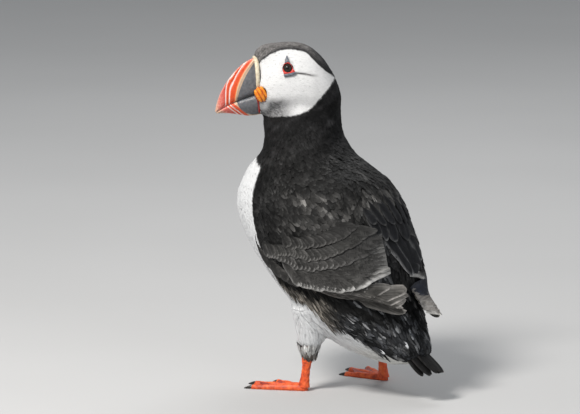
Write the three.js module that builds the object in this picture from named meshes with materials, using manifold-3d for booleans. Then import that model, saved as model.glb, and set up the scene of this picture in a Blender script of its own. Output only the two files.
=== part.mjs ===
// An Atlantic puffin at life size, standing upright with its wings folded and its head turned to its left.
// Units are millimetres, +Z is up and the bird's body faces -Y, so that its left side is +X.
// Points are first given as [forward, left, up] from the floor midway between the heels.
import * as THREE from "three";
import { mergeVertices } from "three/addons/utils/BufferGeometryUtils.js";
import Module from "manifold-3d";

const wasm = await Module();
wasm.setup();

// ---------- driving dimensions ----------
const GAP = 0.3; // clear space between neighbouring solids
const HEAD_YAW = THREE.MathUtils.degToRad(52); // the head's turn to the bird's left
const HEAD_CENTRE = new THREE.Vector3(44, 0, 203);
const FLOOR = 0;

const COLOURS = {
  black: 0x1c1b1d, sooty: 0x3a3634, white: 0xe9e8e4, wing: 0x2b2725, primary: 0x3b3430,
  slate: 0x5d636e, cream: 0xeee0b4, orange: 0xe0491f, rosette: 0xf29a12, foot: 0xdd4a1c,
  iris: 0x2a1a12, lid: 0xd22b1d, claw: 0x1d1a18,
};

// ---------- frames ----------
// Body frame [forward, left, up] to the part's own axes.
const BODY_FRAME = new THREE.Matrix4().makeBasis(
  new THREE.Vector3(0, -1, 0), new THREE.Vector3(1, 0, 0), new THREE.Vector3(0, 0, 1));
// Head frame: x towards the bill, y to the head's left, z up, from the middle of the head.
const HEAD_FRAME = BODY_FRAME.clone()
  .multiply(new THREE.Matrix4().makeTranslation(HEAD_CENTRE))
  .multiply(new THREE.Matrix4().makeRotationZ(HEAD_YAW));

// ---------- solids ----------
// A closed geometry as a manifold solid, turned the right way out.
function solidOf(geometry, frame = BODY_FRAME) {
  const bare = geometry.index ? geometry.toNonIndexed() : geometry.clone();
  const shape = new THREE.BufferGeometry()
    .setAttribute("position", bare.getAttribute("position"))
    .applyMatrix4(frame);
  const merged = mergeVertices(shape, 1e-3);
  const p = merged.attributes.position;
  const corners = Array.from(merged.index.array);
  const triVerts = [];
  let volume = 0;
  const [a, b, c] = [new THREE.Vector3(), new THREE.Vector3(), new THREE.Vector3()];
  for (let i = 0; i < corners.length; i += 3) {
    const [i0, i1, i2] = corners.slice(i, i + 3);
    if (i0 === i1 || i1 === i2 || i2 === i0) continue;
    triVerts.push(i0, i1, i2);
    volume += a.fromBufferAttribute(p, i0).dot(
      b.fromBufferAttribute(p, i1).cross(c.fromBufferAttribute(p, i2)));
  }
  if (volume < 0)
    for (let i = 0; i < triVerts.length; i += 3)
      [triVerts[i + 1], triVerts[i + 2]] = [triVerts[i + 2], triVerts[i + 1]];
  return new wasm.Manifold(new wasm.Mesh({
    numProp: 3, vertProperties: p.array, triVerts: new Uint32Array(triVerts) }));
}

// A closed skin: the rings and sides of a sphere, each corner moved to place(t, angle).
// t runs from 0 at one end to 1 at the other, and the two ends are single points.
function loft(rings, sides, place, frame = BODY_FRAME) {
  const ball = new THREE.SphereGeometry(1, sides, rings);
  const p = ball.attributes.position;
  for (let ring = 0; ring <= rings; ring++)
    for (let side = 0; side <= sides; side++) {
      const angle = ((side % sides) / sides) * 2 * Math.PI;
      const point = place(ring / rings, ring === 0 || ring === rings ? 0 : angle);
      p.setXYZ(ring * (sides + 1) + side, ...point);
    }
  return solidOf(ball, frame);
}

// An ellipsoid with its poles along y: radii grow by the clearance of a cut.
const ellipsoid = (centre, radii, frame, grow = 0, rings = 6, sides = 10) => loft(rings, sides, (t, angle) => [
  centre[0] + (radii[0] + grow) * Math.sin(Math.PI * t) * Math.cos(angle),
  centre[1] + (radii[1] + grow) * Math.cos(Math.PI * t),
  centre[2] + (radii[2] + grow) * Math.sin(Math.PI * t) * Math.sin(angle)], frame);

// Keeps the largest piece of a cut, so that each node is one body.
function largest(solid) {
  const bodies = solid.decompose();
  return bodies.reduce((best, body) => (body.volume() > best.volume() ? body : best));
}

const cutAway = (solid, ...cutters) =>
  largest(cutters.reduce((left, cutter) => left.subtract(cutter), solid));

// Smooth curve through numbers at equal steps of t.
const through = (values) => {
  const curve = new THREE.SplineCurve(values.map((v, i) => new THREE.Vector2(i, v)));
  return (t) => curve.getPoint(THREE.MathUtils.clamp(t, 0, 1)).y;
};
// How full a rounded end is: 0 at t = 0 and 1 from t = length on.
const roundEnd = (t, length) => Math.sqrt(1 - (1 - Math.min(1, t / length)) ** 2);
const power = (value, exponent) => Math.sign(value) * Math.abs(value) ** exponent;

// ---------- body, from the tail root up to the top of the neck ----------
// Each station: the back's and the breast's [forward, up], and the half width between them.
const BODY = [
  { at: "tail root", back: [-73, 31], front: [-65, 22], half: 11 },
  { at: "rump", back: [-65, 43], front: [-50, 21], half: 21 },
  { at: "lower back", back: [-56, 60], front: [-28, 24], half: 30 },
  { at: "loins", back: [-50, 78], front: [-4, 30], half: 38 },
  { at: "belly", back: [-45, 97], front: [22, 45], half: 43 },
  { at: "flank", back: [-40, 117], front: [51, 68], half: 46 },
  { at: "breast", back: [-31, 135], front: [74, 93], half: 47 },
  { at: "shoulder", back: [-15.5, 147], front: [85, 118], half: 44 },
  { at: "neck root", back: [0.5, 155], front: [78, 140], half: 36 },
  { at: "lower neck", back: [10.5, 165], front: [67, 156], half: 30 },
  { at: "neck", back: [13.5, 178], front: [67.5, 176], half: 24 },
  { at: "upper neck", back: [19.5, 189], front: [63, 189], half: 18 },
  { at: "neck top", back: [27, 200], front: [58, 200], half: 13 },
];
const TWIST = { from: 147, to: 177 }; // the neck turns with the head between these heights
const BODY_FULLNESS = 2.15; // exponent of the section: 2 is an ellipse
const BODY_RINGS = 28;
const BODY_SIDES = 24;
const track = (key, i) => through(BODY.map((s) => (i === undefined ? s[key] : s[key][i])));
const bodyLine = {
  backX: track("back", 0), backZ: track("back", 1),
  frontX: track("front", 0), frontZ: track("front", 1), half: track("half"),
};

function bodyLoft(grow = 0) {
  return loft(BODY_RINGS, BODY_SIDES, (t, angle) => {
    const back = [bodyLine.backX(t), bodyLine.backZ(t)];
    const front = [bodyLine.frontX(t), bodyLine.frontZ(t)];
    const middle = [(front[0] + back[0]) / 2, (front[1] + back[1]) / 2];
    const reach = [(front[0] - back[0]) / 2, (front[1] - back[1]) / 2];
    const turn = HEAD_YAW * THREE.MathUtils.smoothstep(middle[1], TWIST.from, TWIST.to);
    const full = roundEnd(t, 0.05) * roundEnd(1 - t, 0.04);
    const along = power(Math.cos(angle - turn), 2 / BODY_FULLNESS) * full * (1 + grow / Math.hypot(...reach));
    const across = power(Math.sin(angle - turn), 2 / BODY_FULLNESS) * full * (bodyLine.half(t) + grow);
    const ahead = middle[0] + along * reach[0] - HEAD_CENTRE.x;
    return [
      HEAD_CENTRE.x + ahead * Math.cos(turn) - across * Math.sin(turn),
      ahead * Math.sin(turn) + across * Math.cos(turn),
      middle[1] + along * reach[1],
    ];
  });
}

// ---------- head ----------
// Each station: its place along the head, the height of crown and throat, and the half width.
const HEAD = [
  { at: "nape", x: -29.5, top: -7, bottom: -14, half: 7 },
  { at: "back of head", x: -26, top: 3, bottom: -20, half: 15 },
  { at: "rear cheek", x: -17.5, top: 15.5, bottom: -25, half: 20.5 },
  { at: "cheek", x: -7, top: 23.8, bottom: -26.5, half: 22 },
  { at: "eye", x: 5, top: 25.8, bottom: -26.5, half: 20.5 },
  { at: "lores", x: 16, top: 23.6, bottom: -26, half: 17 },
  { at: "forehead", x: 24.5, top: 18.5, bottom: -24.5, half: 12.5 },
  { at: "bill base", x: 29, top: 13.5, bottom: -21.5, half: 9 },
];
const CROWN_NARROWING = 0.17; // the crown is narrower than the cheeks by this share
const headLine = {};
for (const key of ["x", "top", "bottom", "half"]) headLine[key] = through(HEAD.map((s) => s[key]));

const headLoft = () => loft(16, 20, (t, angle) => {
  const [top, bottom] = [headLine.top(t), headLine.bottom(t)];
  const full = roundEnd(t, 0.06) * roundEnd(1 - t, 0.05);
  const up = Math.cos(angle) * full;
  return [
    headLine.x(t),
    Math.sin(angle) * full * headLine.half(t) * (1 - CROWN_NARROWING * up),
    (top + bottom) / 2 + (up * (top - bottom)) / 2,
  ];
}, HEAD_FRAME);

// The half width of the head at [x, z], and a frame on its skin there with y pointing out.
function cheekAt(x, z) {
  let [low, high] = [0, 1];
  for (let step = 0; step < 30; step++) {
    const middle = (low + high) / 2;
    if (headLine.x(middle) < x) low = middle;
    else high = middle;
  }
  const [top, bottom] = [headLine.top(low), headLine.bottom(low)];
  const up = (2 * z - top - bottom) / (top - bottom);
  return headLine.half(low) * Math.sqrt(1 - up * up) * (1 - CROWN_NARROWING * up);
}
function onCheek(x, z, side, sunk) {
  const step = 0.5;
  const out = new THREE.Vector3(
    cheekAt(x - step, z) - cheekAt(x + step, z), 2 * step, cheekAt(x, z - step) - cheekAt(x, z + step)).normalize();
  const ahead = new THREE.Vector3(1, 0, 0).addScaledVector(out, -out.x).normalize();
  const frame = new THREE.Matrix4().makeBasis(ahead, out, new THREE.Vector3().crossVectors(ahead, out));
  frame.setPosition(new THREE.Vector3(x, cheekAt(x, z), z).addScaledVector(out, -sunk));
  return HEAD_FRAME.clone().multiply(new THREE.Matrix4().makeScale(1, side, 1)).multiply(frame);
}

// ---------- bill ----------
// Side outlines in the head frame as [x, z]: the ridge, the gape line and the lower edge, base to tip.
const CULMEN = [[22, 15.5], [28.5, 14.5], [35.5, 11], [42, 5], [47.8, -2.6], [52.3, -11.5], [54.9, -20.6]];
const GAPE = [[22, -7.5], [28, -9.6], [34, -11.8], [40, -14], [45.5, -16.4], [50.5, -19], [54.6, -21.6]];
const KEEL = [[22, -23], [28, -24], [33, -24.2], [38, -23.4], [43.5, -22.6], [48.5, -22.2], [53.2, -22.4]];
const BILL_HALF = 8.2; // half the bill's width at its base, at the gape
const BILL_TIP_HALF = 1.6;
const line = (points) => {
  const curve = new THREE.SplineCurve(points.map((p) => new THREE.Vector2(...p)));
  return (t) => curve.getPoint(THREE.MathUtils.clamp(t, 0, 1));
};
const billHalf = (t) => THREE.MathUtils.lerp(BILL_HALF, BILL_TIP_HALF, t ** 0.8);

// One mandible between its outer edge and the gape line: a wedge, thickest at the gape.
function mandible(edge, gape, edgeSharpness, grow = 0) {
  const [outer, inner] = [line(edge), line(gape)];
  return loft(12, 10, (t, angle) => {
    const [top, bottom] = [outer(t), inner(t)];
    const full = roundEnd(t, 0.03) * roundEnd(1 - t, 0.08);
    const away = (1 + Math.cos(angle)) / 2; // 1 at the outer edge, 0 at the gape
    const spread = Math.sin(angle) * (1 - edgeSharpness * away) * full;
    const middle = top.clone().add(bottom).multiplyScalar(0.5);
    const reach = top.clone().sub(bottom).multiplyScalar(0.5);
    const stretch = Math.cos(angle) * full * (1 + grow / Math.max(reach.length(), 1));
    return [
      middle.x + reach.x * stretch + (t > 0.5 ? grow : -grow) * (1 - full),
      spread * (billHalf(t) + grow),
      middle.y + reach.y * stretch,
    ];
  }, HEAD_FRAME);
}
const GAPE_UNDER = GAPE.map(([x, z]) => [x, z - GAP]);
const CULMEN_SHARPNESS = 0.75;
const KEEL_SHARPNESS = 0.55;

// The raised horny band where the bill meets the face: a flat ring round the bill's base.
const BAND = { x: 27.2, width: 2.6, middle: 3.5, halfHeight: 14, half: 10.4, lean: 0.04 };
const bandLoft = (grow = 0) => loft(4, 16, (t, angle) => {
  const across = -Math.cos(Math.PI * t); // back face to front face
  const full = Math.sin(Math.PI * t);
  const z = BAND.middle + Math.cos(angle) * (BAND.halfHeight + grow) * full ** 0.4;
  return [
    BAND.x + BAND.lean * (z - BAND.middle) + (across * (BAND.width + 2 * grow)) / 2,
    Math.sin(angle) * (BAND.half + grow) * full ** 0.4, z];
}, HEAD_FRAME);

// The fleshy rosette at each corner of the gape: a round button.
const ROSETTE = { at: [25.2, 10.2, -8.6], radii: [4.9, 2.6, 4.6] };

// ---------- eyes ----------
// Each piece is an ellipsoid at [x, z] on the side of the head, its middle sunk below the skin.
const EYE = { x: 8.3, z: 9.6 };
const EYEBALL = { at: [EYE.x, EYE.z], radii: [4.2, 4.2, 4.2], sunk: 2.9 };
const EYE_RING = { at: [EYE.x, EYE.z], radii: [4.3, 1.5, 4.1], sunk: 0.9 };
// The horny blue plates over and under the eye.
const PLATES = {
  upper: { at: [EYE.x - 0.8, EYE.z + 4.2], radii: [1.8, 1.2, 2.9], sunk: 0.6 },
  lower: { at: [EYE.x - 1.4, EYE.z - 5.1], radii: [4.4, 1.2, 1.6], sunk: 0.6 },
};
const eyePiece = ({ at, radii, sunk }, side, grow = 0, rings = 6, sides = 12) =>
  ellipsoid([0, 0, 0], radii, onCheek(...at, side, sunk), grow, rings, sides);

// ---------- wings ----------
// The wing frame: w runs from the shoulder to the wing tip, c across it towards the back.
const WING_ROOT = [38, 118]; // [forward, up] of w = 0, c = 0
// How far each folded wing points down: the right one hangs a little lower.
const WING_DROOP = { left: THREE.MathUtils.degToRad(30.6), right: THREE.MathUtils.degToRad(33.6) };
// Each station: how far out the wing is at its widest, its lower and upper edges across c,
// how near the back's middle its upper edge comes, and how thick it is.
const WING = [
  { w: -9, low: 1, high: 22, out: 43, inner: 35, thick: 7 },
  { w: 5, low: -13, high: 43, out: 50, inner: 23, thick: 13 },
  { w: 20, low: -21, high: 55, out: 52.5, inner: 13, thick: 15 },
  { w: 35, low: -25, high: 58.5, out: 53, inner: 8, thick: 15 },
  { w: 48, low: -26.3, high: 54.5, out: 52.5, inner: 6, thick: 14 },
  { w: 61, low: -25, high: 45, out: 51.5, inner: 6, thick: 13 },
  { w: 75, low: -19.5, high: 35.5, out: 48, inner: 7, thick: 12 },
  { w: 89, low: -9, high: 22.5, out: 41.5, inner: 9, thick: 9 },
  { w: 102, low: -1, high: 12.5, out: 32, inner: 12, thick: 5 },
  { w: 115, low: 4.5, high: 11, out: 24.5, inner: 14, thick: 3 },
  { w: 127, low: 9, high: 10.3, out: 18.5, inner: 16, thick: 1.2 },
];
const WIDEST_AT = 0.27; // the wing stands out most this far up from its lower edge
const wingLine = {};
for (const key of ["w", "low", "high", "out", "inner", "thick"])
  wingLine[key] = through(WING.map((s) => s[key]));

// The wing frame's own [w, c, out] as the body's [forward, left, up].
function wingFrame(sideName) {
  const droop = WING_DROOP[sideName];
  return new THREE.Matrix4().makeBasis(
    new THREE.Vector3(-Math.cos(droop), 0, -Math.sin(droop)),
    new THREE.Vector3(-Math.sin(droop), 0, Math.cos(droop)),
    new THREE.Vector3(0, sideName === "left" ? 1 : -1, 0),
  ).setPosition(WING_ROOT[0], 0, WING_ROOT[1]);
}

const wingLoft = (sideName) => loft(18, 14, (t, angle) => {
  const [low, high, out] = [wingLine.low(t), wingLine.high(t), wingLine.out(t)];
  const centre = THREE.MathUtils.lerp(low, high, WIDEST_AT);
  const lowest = -Math.asin(WIDEST_AT / (1 - WIDEST_AT));
  const highest = Math.acos(Math.min(1, wingLine.inner(t) / out));
  const full = roundEnd(t, 0.05) * roundEnd(1 - t, 0.05);
  const v = (1 - Math.cos(angle)) / 2; // 0 at the lower edge, 1 at the upper edge
  const arc = THREE.MathUtils.lerp(lowest, highest, 0.5 + (v - 0.5) * (0.35 + 0.65 * full));
  const inset = (wingLine.thick(t) / 2) * (1 - Math.sin(angle) * full);
  return [wingLine.w(t), centre + (high - centre - inset) * Math.sin(arc), (out - inset) * Math.cos(arc)];
}, BODY_FRAME.clone().multiply(wingFrame(sideName)));

// The wing's tracts part along arcs, each about its own centre in the wing frame.
const TRACT_ARCS = {
  coverts: { front: [16, -24], centre: [43, 36], radius: 41 },
  secondaries: { front: [38, -28], centre: [54, 28], radius: 41 },
};
// Everything in front of a tract's arc, as a prism across the wing.
function beforeArc({ front, centre: [w, c], radius }, by, sideName) {
  const far = 160;
  const shape = new THREE.Shape();
  shape.moveTo(-far, -far);
  shape.lineTo(front[0] + by, -far);
  shape.lineTo(front[0] + by, front[1] - by);
  shape.lineTo(w, c - radius - by);
  shape.absarc(w, c, radius + by, -Math.PI / 2, Math.PI / 2, false);
  shape.lineTo(w, far);
  shape.lineTo(-far, far);
  const prism = new THREE.ExtrudeGeometry(shape, {
    depth: 100, bevelEnabled: false, curveSegments: 16 });
  return solidOf(prism, BODY_FRAME.clone().multiply(wingFrame(sideName)));
}

// ---------- legs ----------
// Heels and toe directions differ a little: the right foot stands further back.
const LEGS = {
  left: { side: 1, heel: [8, 31], ankle: [6, 28, 24], turn: 14 },
  right: { side: -1, heel: [-8, -31], ankle: [-8, -28, 24], turn: -10 },
};
const THIGH = {
  bottom: 25.5, bottomRadius: 8.2, hipUp: 62, hipRadius: 24, hipInset: 4, hipForward: -3, flatness: 0.85 };
const SHANK = { ankleHalf: [4.3, 3.4], middleHalf: [3.2, 2.4], heelHalf: [4, 3.2], bottom: 2.4, sunk: 6 };
const TOES = [
  { name: "inner", angle: -24, length: 30, root: 3.1 },
  { name: "middle", angle: 0, length: 38, root: 3.4 },
  { name: "outer", angle: 20, length: 36, root: 3.1 },
];
const TOE_TIP_HALF = 1.7;
const TOE_HEIGHT = { root: 4.6, tip: 2.6 };
const WEB = { thickness: 1.6, short: 3, scallop: 0.78 };
const CLAW = { length: 6.5, sunk: 2, half: 1.3, tipHalf: 0.5, height: 2.2, tipHeight: 0.7 };

// ---------- tail ----------
const TAIL = {
  root: [-57, 38], tip: [-81, 18.5], rootHalf: 11, tipHalf: 17, thickness: 4, tipThickness: 1.3, curve: 0.18 };

// ---------- build ----------
const group = new THREE.Group();
const solids = {};
const looks = {};

function add(name, solid, colour, roughness = 0.85) {
  solids[name] = largest(solid);
  looks[name] = { color: colour, roughness, metalness: 0 };
}

// One solid on both sides of a plane, with a thin cut between: [behind the normal, before it].
function parted(solid, { centre, normal }) {
  const size = 400; // larger than the bird
  const ahead = new THREE.Vector3(...normal).normalize();
  const turn = new THREE.Quaternion().setFromUnitVectors(new THREE.Vector3(0, 0, 1), ahead);
  return [-1, 1].map((way) => {
    const middle = new THREE.Vector3(...centre).addScaledVector(ahead, (way * (size + GAP)) / 2);
    const side = new THREE.BoxGeometry(size, size, size);
    side.applyQuaternion(turn).translate(middle.x, middle.y, middle.z);
    return solid.intersect(solidOf(side));
  });
}

// The tapering feathered thigh, from inside the belly down to the ankle.
const thighLoft = ({ side, ankle }) => loft(7, 12, (t, angle) => {
  const hip = [ankle[0] + THIGH.hipForward, ankle[1] - side * THIGH.hipInset, THIGH.hipUp];
  const full = roundEnd(t, 0.12) * roundEnd(1 - t, 0.2);
  const radius = THREE.MathUtils.lerp(THIGH.hipRadius, THIGH.bottomRadius, t ** 0.75) * full;
  return [
    THREE.MathUtils.lerp(hip[0], ankle[0], t) + radius * Math.cos(angle),
    THREE.MathUtils.lerp(hip[1], ankle[1], t) + radius * THIGH.flatness * Math.sin(angle),
    THREE.MathUtils.lerp(hip[2], THIGH.bottom, t),
  ];
});

// The bare shank, from inside the thigh down into the foot.
const SHANK_HALVES = [SHANK.ankleHalf, SHANK.ankleHalf, SHANK.middleHalf, SHANK.middleHalf, SHANK.heelHalf];
const [shankFore, shankWide] = [0, 1].map((i) => through(SHANK_HALVES.map((h) => h[i])));
const SHANK_RINGS = 8;
const shankLoft = ({ heel, ankle }, grow = 0) => loft(SHANK_RINGS, 8, (t, angle) => {
  const full = t === 0 || t === 1 ? 0 : 1; // flat ends
  const down = THREE.MathUtils.clamp((t * SHANK_RINGS - 1) / (SHANK_RINGS - 2), 0, 1);
  return [
    THREE.MathUtils.lerp(ankle[0], heel[0], down) + (shankFore(down) + grow) * full * Math.cos(angle),
    THREE.MathUtils.lerp(ankle[1], heel[1], down) + (shankWide(down) + grow) * full * Math.sin(angle),
    THREE.MathUtils.lerp(ankle[2] + SHANK.sunk + grow, SHANK.bottom - grow, down),
  ];
});

// A toe or claw on the floor: a half round bar with a flat sole, from start to end.
function toeLoft([startX, startY], [endX, endY], halves, heights, grow = 0, rings = 5) {
  const along = new THREE.Vector2(endX - startX, endY - startY);
  const across = new THREE.Vector2(-along.y, along.x).normalize();
  const longer = grow / along.length();
  return loft(rings, 8, (t, angle) => {
    const full = roundEnd(t, 0.12) * roundEnd(1 - t, 0.1);
    const half = (THREE.MathUtils.lerp(halves[0], halves[1], t) + grow) * full * Math.cos(angle);
    const height = (THREE.MathUtils.lerp(heights[0], heights[1], t) + grow) * full * Math.sin(angle);
    const far = THREE.MathUtils.lerp(-longer, 1 + longer, t);
    return [
      startX + along.x * far + across.x * half,
      startY + along.y * far + across.y * half,
      FLOOR + Math.max(-grow, height),
    ];
  });
}

// One foot's [joined toes and web, its claws by name], the claws set into the toes.
function footParts({ side, heel, turn }) {
  const place = (angle, distance) => {
    const a = THREE.MathUtils.degToRad(side * angle + turn);
    return [heel[0] + Math.cos(a) * distance, heel[1] + Math.sin(a) * distance];
  };
  const web = new THREE.Shape();
  web.moveTo(...place(0, -1));
  TOES.forEach(({ angle, length }, i) => {
    web.lineTo(...place(angle, length - WEB.short));
    const next = TOES[i + 1];
    if (next)
      web.quadraticCurveTo(
        ...place((angle + next.angle) / 2, Math.min(length, next.length) * WEB.scallop),
        ...place(next.angle, next.length - WEB.short));
  });
  let foot = solidOf(new THREE.ExtrudeGeometry(web, {
    depth: WEB.thickness, bevelEnabled: false, curveSegments: 4 }));
  for (const { angle, length, root } of TOES)
    foot = foot.add(toeLoft(place(180 + angle, 3), place(angle, length),
      [root, TOE_TIP_HALF], [TOE_HEIGHT.root, TOE_HEIGHT.tip]));
  const claws = {};
  for (const { name, angle, length } of TOES) {
    const start = length - CLAW.sunk;
    const clawLoft = (grow) => toeLoft(place(angle, start), place(angle, start + CLAW.length),
      [CLAW.half, CLAW.tipHalf], [CLAW.height, CLAW.tipHeight], grow, 5);
    claws[name] = clawLoft(0);
    foot = foot.subtract(clawLoft(GAP));
  }
  return [foot, claws];
}

// The short square tail, a fan that widens and thins towards its rounded end.
function tailLoft() {
  return loft(8, 16, (t, angle) => {
    const full = roundEnd(t, 0.1) * roundEnd(1 - t, 0.06);
    const half = THREE.MathUtils.lerp(TAIL.rootHalf, TAIL.tipHalf, t) * full;
    const across = Math.cos(angle) * half;
    const along = t * (1 - TAIL.curve * (across / TAIL.tipHalf) ** 2);
    const thick = THREE.MathUtils.lerp(TAIL.thickness, TAIL.tipThickness, t) * full;
    return [
      THREE.MathUtils.lerp(TAIL.root[0], TAIL.tip[0], along),
      across,
      THREE.MathUtils.lerp(TAIL.root[1], TAIL.tip[1], along) + (thick / 2) * Math.sin(angle),
    ];
  });
}

// Head, bill and eyes.
const bands = { own: bandLoft(), grown: bandLoft(GAP) };
const upperBill = mandible(CULMEN, GAPE, CULMEN_SHARPNESS);
const lowerBill = mandible(KEEL, GAPE_UNDER, KEEL_SHARPNESS);
const grownBill = mandible(CULMEN, GAPE, CULMEN_SHARPNESS, GAP)
  .add(mandible(KEEL, GAPE_UNDER, KEEL_SHARPNESS, GAP));
const faceCutters = [grownBill, bands.grown];
for (const [sideName, side] of [["left", 1], ["right", -1]]) {
  const rosetteAt = [ROSETTE.at[0], side * ROSETTE.at[1], ROSETTE.at[2]];
  const grownEye = eyePiece(EYEBALL, side, GAP);
  const grownRing = eyePiece(EYE_RING, side, GAP);
  faceCutters.push(ellipsoid(rosetteAt, ROSETTE.radii, HEAD_FRAME, GAP), grownEye, grownRing);
  add("rosette_" + sideName,
    ellipsoid(rosetteAt, ROSETTE.radii, HEAD_FRAME).subtract(grownBill).subtract(bands.grown), COLOURS.rosette, 0.5);
  add("eye_" + sideName, eyePiece(EYEBALL, side), COLOURS.iris, 0.1);
  add("eye_ring_" + sideName, eyePiece(EYE_RING, side).subtract(grownEye), COLOURS.lid, 0.5);
  for (const [name, plate] of Object.entries(PLATES)) {
    faceCutters.push(eyePiece(plate, side, GAP, 4, 8));
    add(`eye_plate_${name}_${sideName}`,
      eyePiece(plate, side, 0, 4, 8).subtract(grownRing).subtract(grownEye), COLOURS.slate, 0.6);
  }
}
add("bill_upper", upperBill, COLOURS.orange, 0.45);
add("bill_lower", lowerBill, COLOURS.orange, 0.45);
add("bill_band", bands.own.subtract(grownBill), COLOURS.cream, 0.5);

// The flesh is modelled whole and parted with thin cuts.
const NECK_CUT = { centre: [44, 0, 176.5], normal: [0, 0, 1] };
const BREAST_CUT = { centre: [36, 0, 150], normal: [-0.12, 0, 1] };
const RUMP_CUT = { centre: [-36, 0, 52], normal: [0.72, 0, 0.69] };
const body = bodyLoft();
const grownBody = bodyLoft(GAP);
const [lowerBody, upperBody] = parted(body, BREAST_CUT);
const [neck, neckTop] = parted(upperBody, NECK_CUT);
const [, skull] = parted(headLoft(), NECK_CUT);
const [rump, trunk] = parted(lowerBody, RUMP_CUT);
add("head", cutAway(skull.add(neckTop), ...faceCutters), COLOURS.white);
add("neck", neck.subtract(grownBill), COLOURS.black);
add("trunk", trunk, COLOURS.white);
add("rump", rump, COLOURS.sooty);
add("tail", tailLoft().subtract(grownBody), COLOURS.black);

for (const sideName of ["left", "right"]) {
  const wing = largest(wingLoft(sideName).subtract(grownBody));
  const [coverts, uncovered] = [-1, 1].map((way) => beforeArc(TRACT_ARCS.coverts, (way * GAP) / 2, sideName));
  const [inner, outer] = [-1, 1].map((way) => beforeArc(TRACT_ARCS.secondaries, (way * GAP) / 2, sideName));
  const flight = wing.subtract(uncovered);
  add("wing_coverts_" + sideName, wing.intersect(coverts), COLOURS.wing);
  add("wing_secondaries_" + sideName, flight.intersect(inner), COLOURS.primary);
  add("wing_primaries_" + sideName, flight.subtract(outer), COLOURS.primary);

  const leg = LEGS[sideName];
  const grownShank = shankLoft(leg, GAP);
  add("thigh_" + sideName, thighLoft(leg).subtract(grownBody).subtract(grownShank), COLOURS.white);
  add("shank_" + sideName, shankLoft(leg).subtract(grownBody), COLOURS.foot, 0.5);
  const [foot, claws] = footParts(leg);
  add("foot_" + sideName, foot.subtract(grownShank), COLOURS.foot, 0.5);
  for (const [name, claw] of Object.entries(claws))
    add(`claw_${name}_${sideName}`, claw, COLOURS.claw, 0.4);
}

for (const [name, solid] of Object.entries(solids)) {
  const mesh = solid.getMesh();
  const geometry = new THREE.BufferGeometry()
    .setAttribute("position", new THREE.BufferAttribute(mesh.vertProperties, 3))
    .setIndex(new THREE.BufferAttribute(mesh.triVerts, 1));
  geometry.computeVertexNormals();
  const part = new THREE.Mesh(geometry, new THREE.MeshStandardMaterial(looks[name]));
  part.name = name;
  group.add(part);
}

// The origin is on the floor, under the middle of the whole bird's box.
const box = new THREE.Box3().setFromObject(group);
const middle = box.getCenter(new THREE.Vector3());
group.position.set(-middle.x, -middle.y, -box.min.z);

export default group;
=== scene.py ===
"""An Atlantic puffin at life size, standing upright with folded wings and its head turned to its left.

Sizes are in millimetres and become metres where a mesh is made.  Three frames are used:
body [ahead, left, up] from the floor midway between the heels,
head [towards the bill, left, up] from the middle of the head, turned with it,
wing [shoulder to tip, across towards the back, out] from the shoulder.
"""
from itertools import product

import bmesh
import bpy
import numpy as np
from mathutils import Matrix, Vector
from mathutils.bvhtree import BVHTree


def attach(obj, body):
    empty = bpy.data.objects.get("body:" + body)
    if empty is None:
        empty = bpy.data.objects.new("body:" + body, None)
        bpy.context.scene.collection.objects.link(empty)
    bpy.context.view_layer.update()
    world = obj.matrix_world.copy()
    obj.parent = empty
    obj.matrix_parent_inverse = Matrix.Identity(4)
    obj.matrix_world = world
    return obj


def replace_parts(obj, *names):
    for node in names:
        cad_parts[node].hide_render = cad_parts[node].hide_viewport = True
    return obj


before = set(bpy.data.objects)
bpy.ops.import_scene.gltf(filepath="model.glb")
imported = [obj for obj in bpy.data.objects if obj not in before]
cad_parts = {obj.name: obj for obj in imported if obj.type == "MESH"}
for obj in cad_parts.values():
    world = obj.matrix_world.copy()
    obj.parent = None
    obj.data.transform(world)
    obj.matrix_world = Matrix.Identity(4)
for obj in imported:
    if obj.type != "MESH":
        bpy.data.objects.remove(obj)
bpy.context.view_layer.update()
MM = 0.001
WELD = 1e-6  # corners closer than this, in metres, become one
SIDES = {"left": 1, "right": -1}
rng = np.random.default_rng(11)


# ---------- frames ----------
HEEL_MIDDLE = (-1.174, 1.739)  # of the part's own x and y
HEAD_CENTRE = (44, 0, 203)
HEAD_TURN = np.radians(52)
WING_ROOT = (38, 118)
WING_DROOP = {"left": np.radians(30.6), "right": np.radians(33.6)}


def body_to_part(p):
    p = np.asarray(p, float)
    return np.stack([HEEL_MIDDLE[0] + p[..., 1], HEEL_MIDDLE[1] - p[..., 0], p[..., 2]], -1) * MM


def part_to_body(p):
    p = np.asarray(p, float) / MM
    return np.stack([HEEL_MIDDLE[1] - p[..., 1], p[..., 0] - HEEL_MIDDLE[0], p[..., 2]], -1)


def turned(p, angle):
    c, s = np.cos(angle), np.sin(angle)
    return np.stack([p[..., 0] * c - p[..., 1] * s, p[..., 0] * s + p[..., 1] * c, p[..., 2]], -1)


def head_to_body(p):
    return turned(np.asarray(p, float), HEAD_TURN) + HEAD_CENTRE


def body_to_head(p):
    return turned(np.asarray(p, float) - HEAD_CENTRE, -HEAD_TURN)


def head_to_part(p):
    return body_to_part(head_to_body(p))


def wing_to_body(p, side):
    p = np.asarray(p, float)
    c, s = np.cos(WING_DROOP[side]), np.sin(WING_DROOP[side])
    return np.stack([WING_ROOT[0] - p[..., 0] * c - p[..., 1] * s, SIDES[side] * p[..., 2],
                     WING_ROOT[1] - p[..., 0] * s + p[..., 1] * c], -1)


def body_to_wing(p, side):
    p = np.asarray(p, float)
    c, s = np.cos(WING_DROOP[side]), np.sin(WING_DROOP[side])
    ahead, up = p[..., 0] - WING_ROOT[0], p[..., 2] - WING_ROOT[1]
    return np.stack([-ahead * c - up * s, -ahead * s + up * c, SIDES[side] * p[..., 1]], -1)


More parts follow.
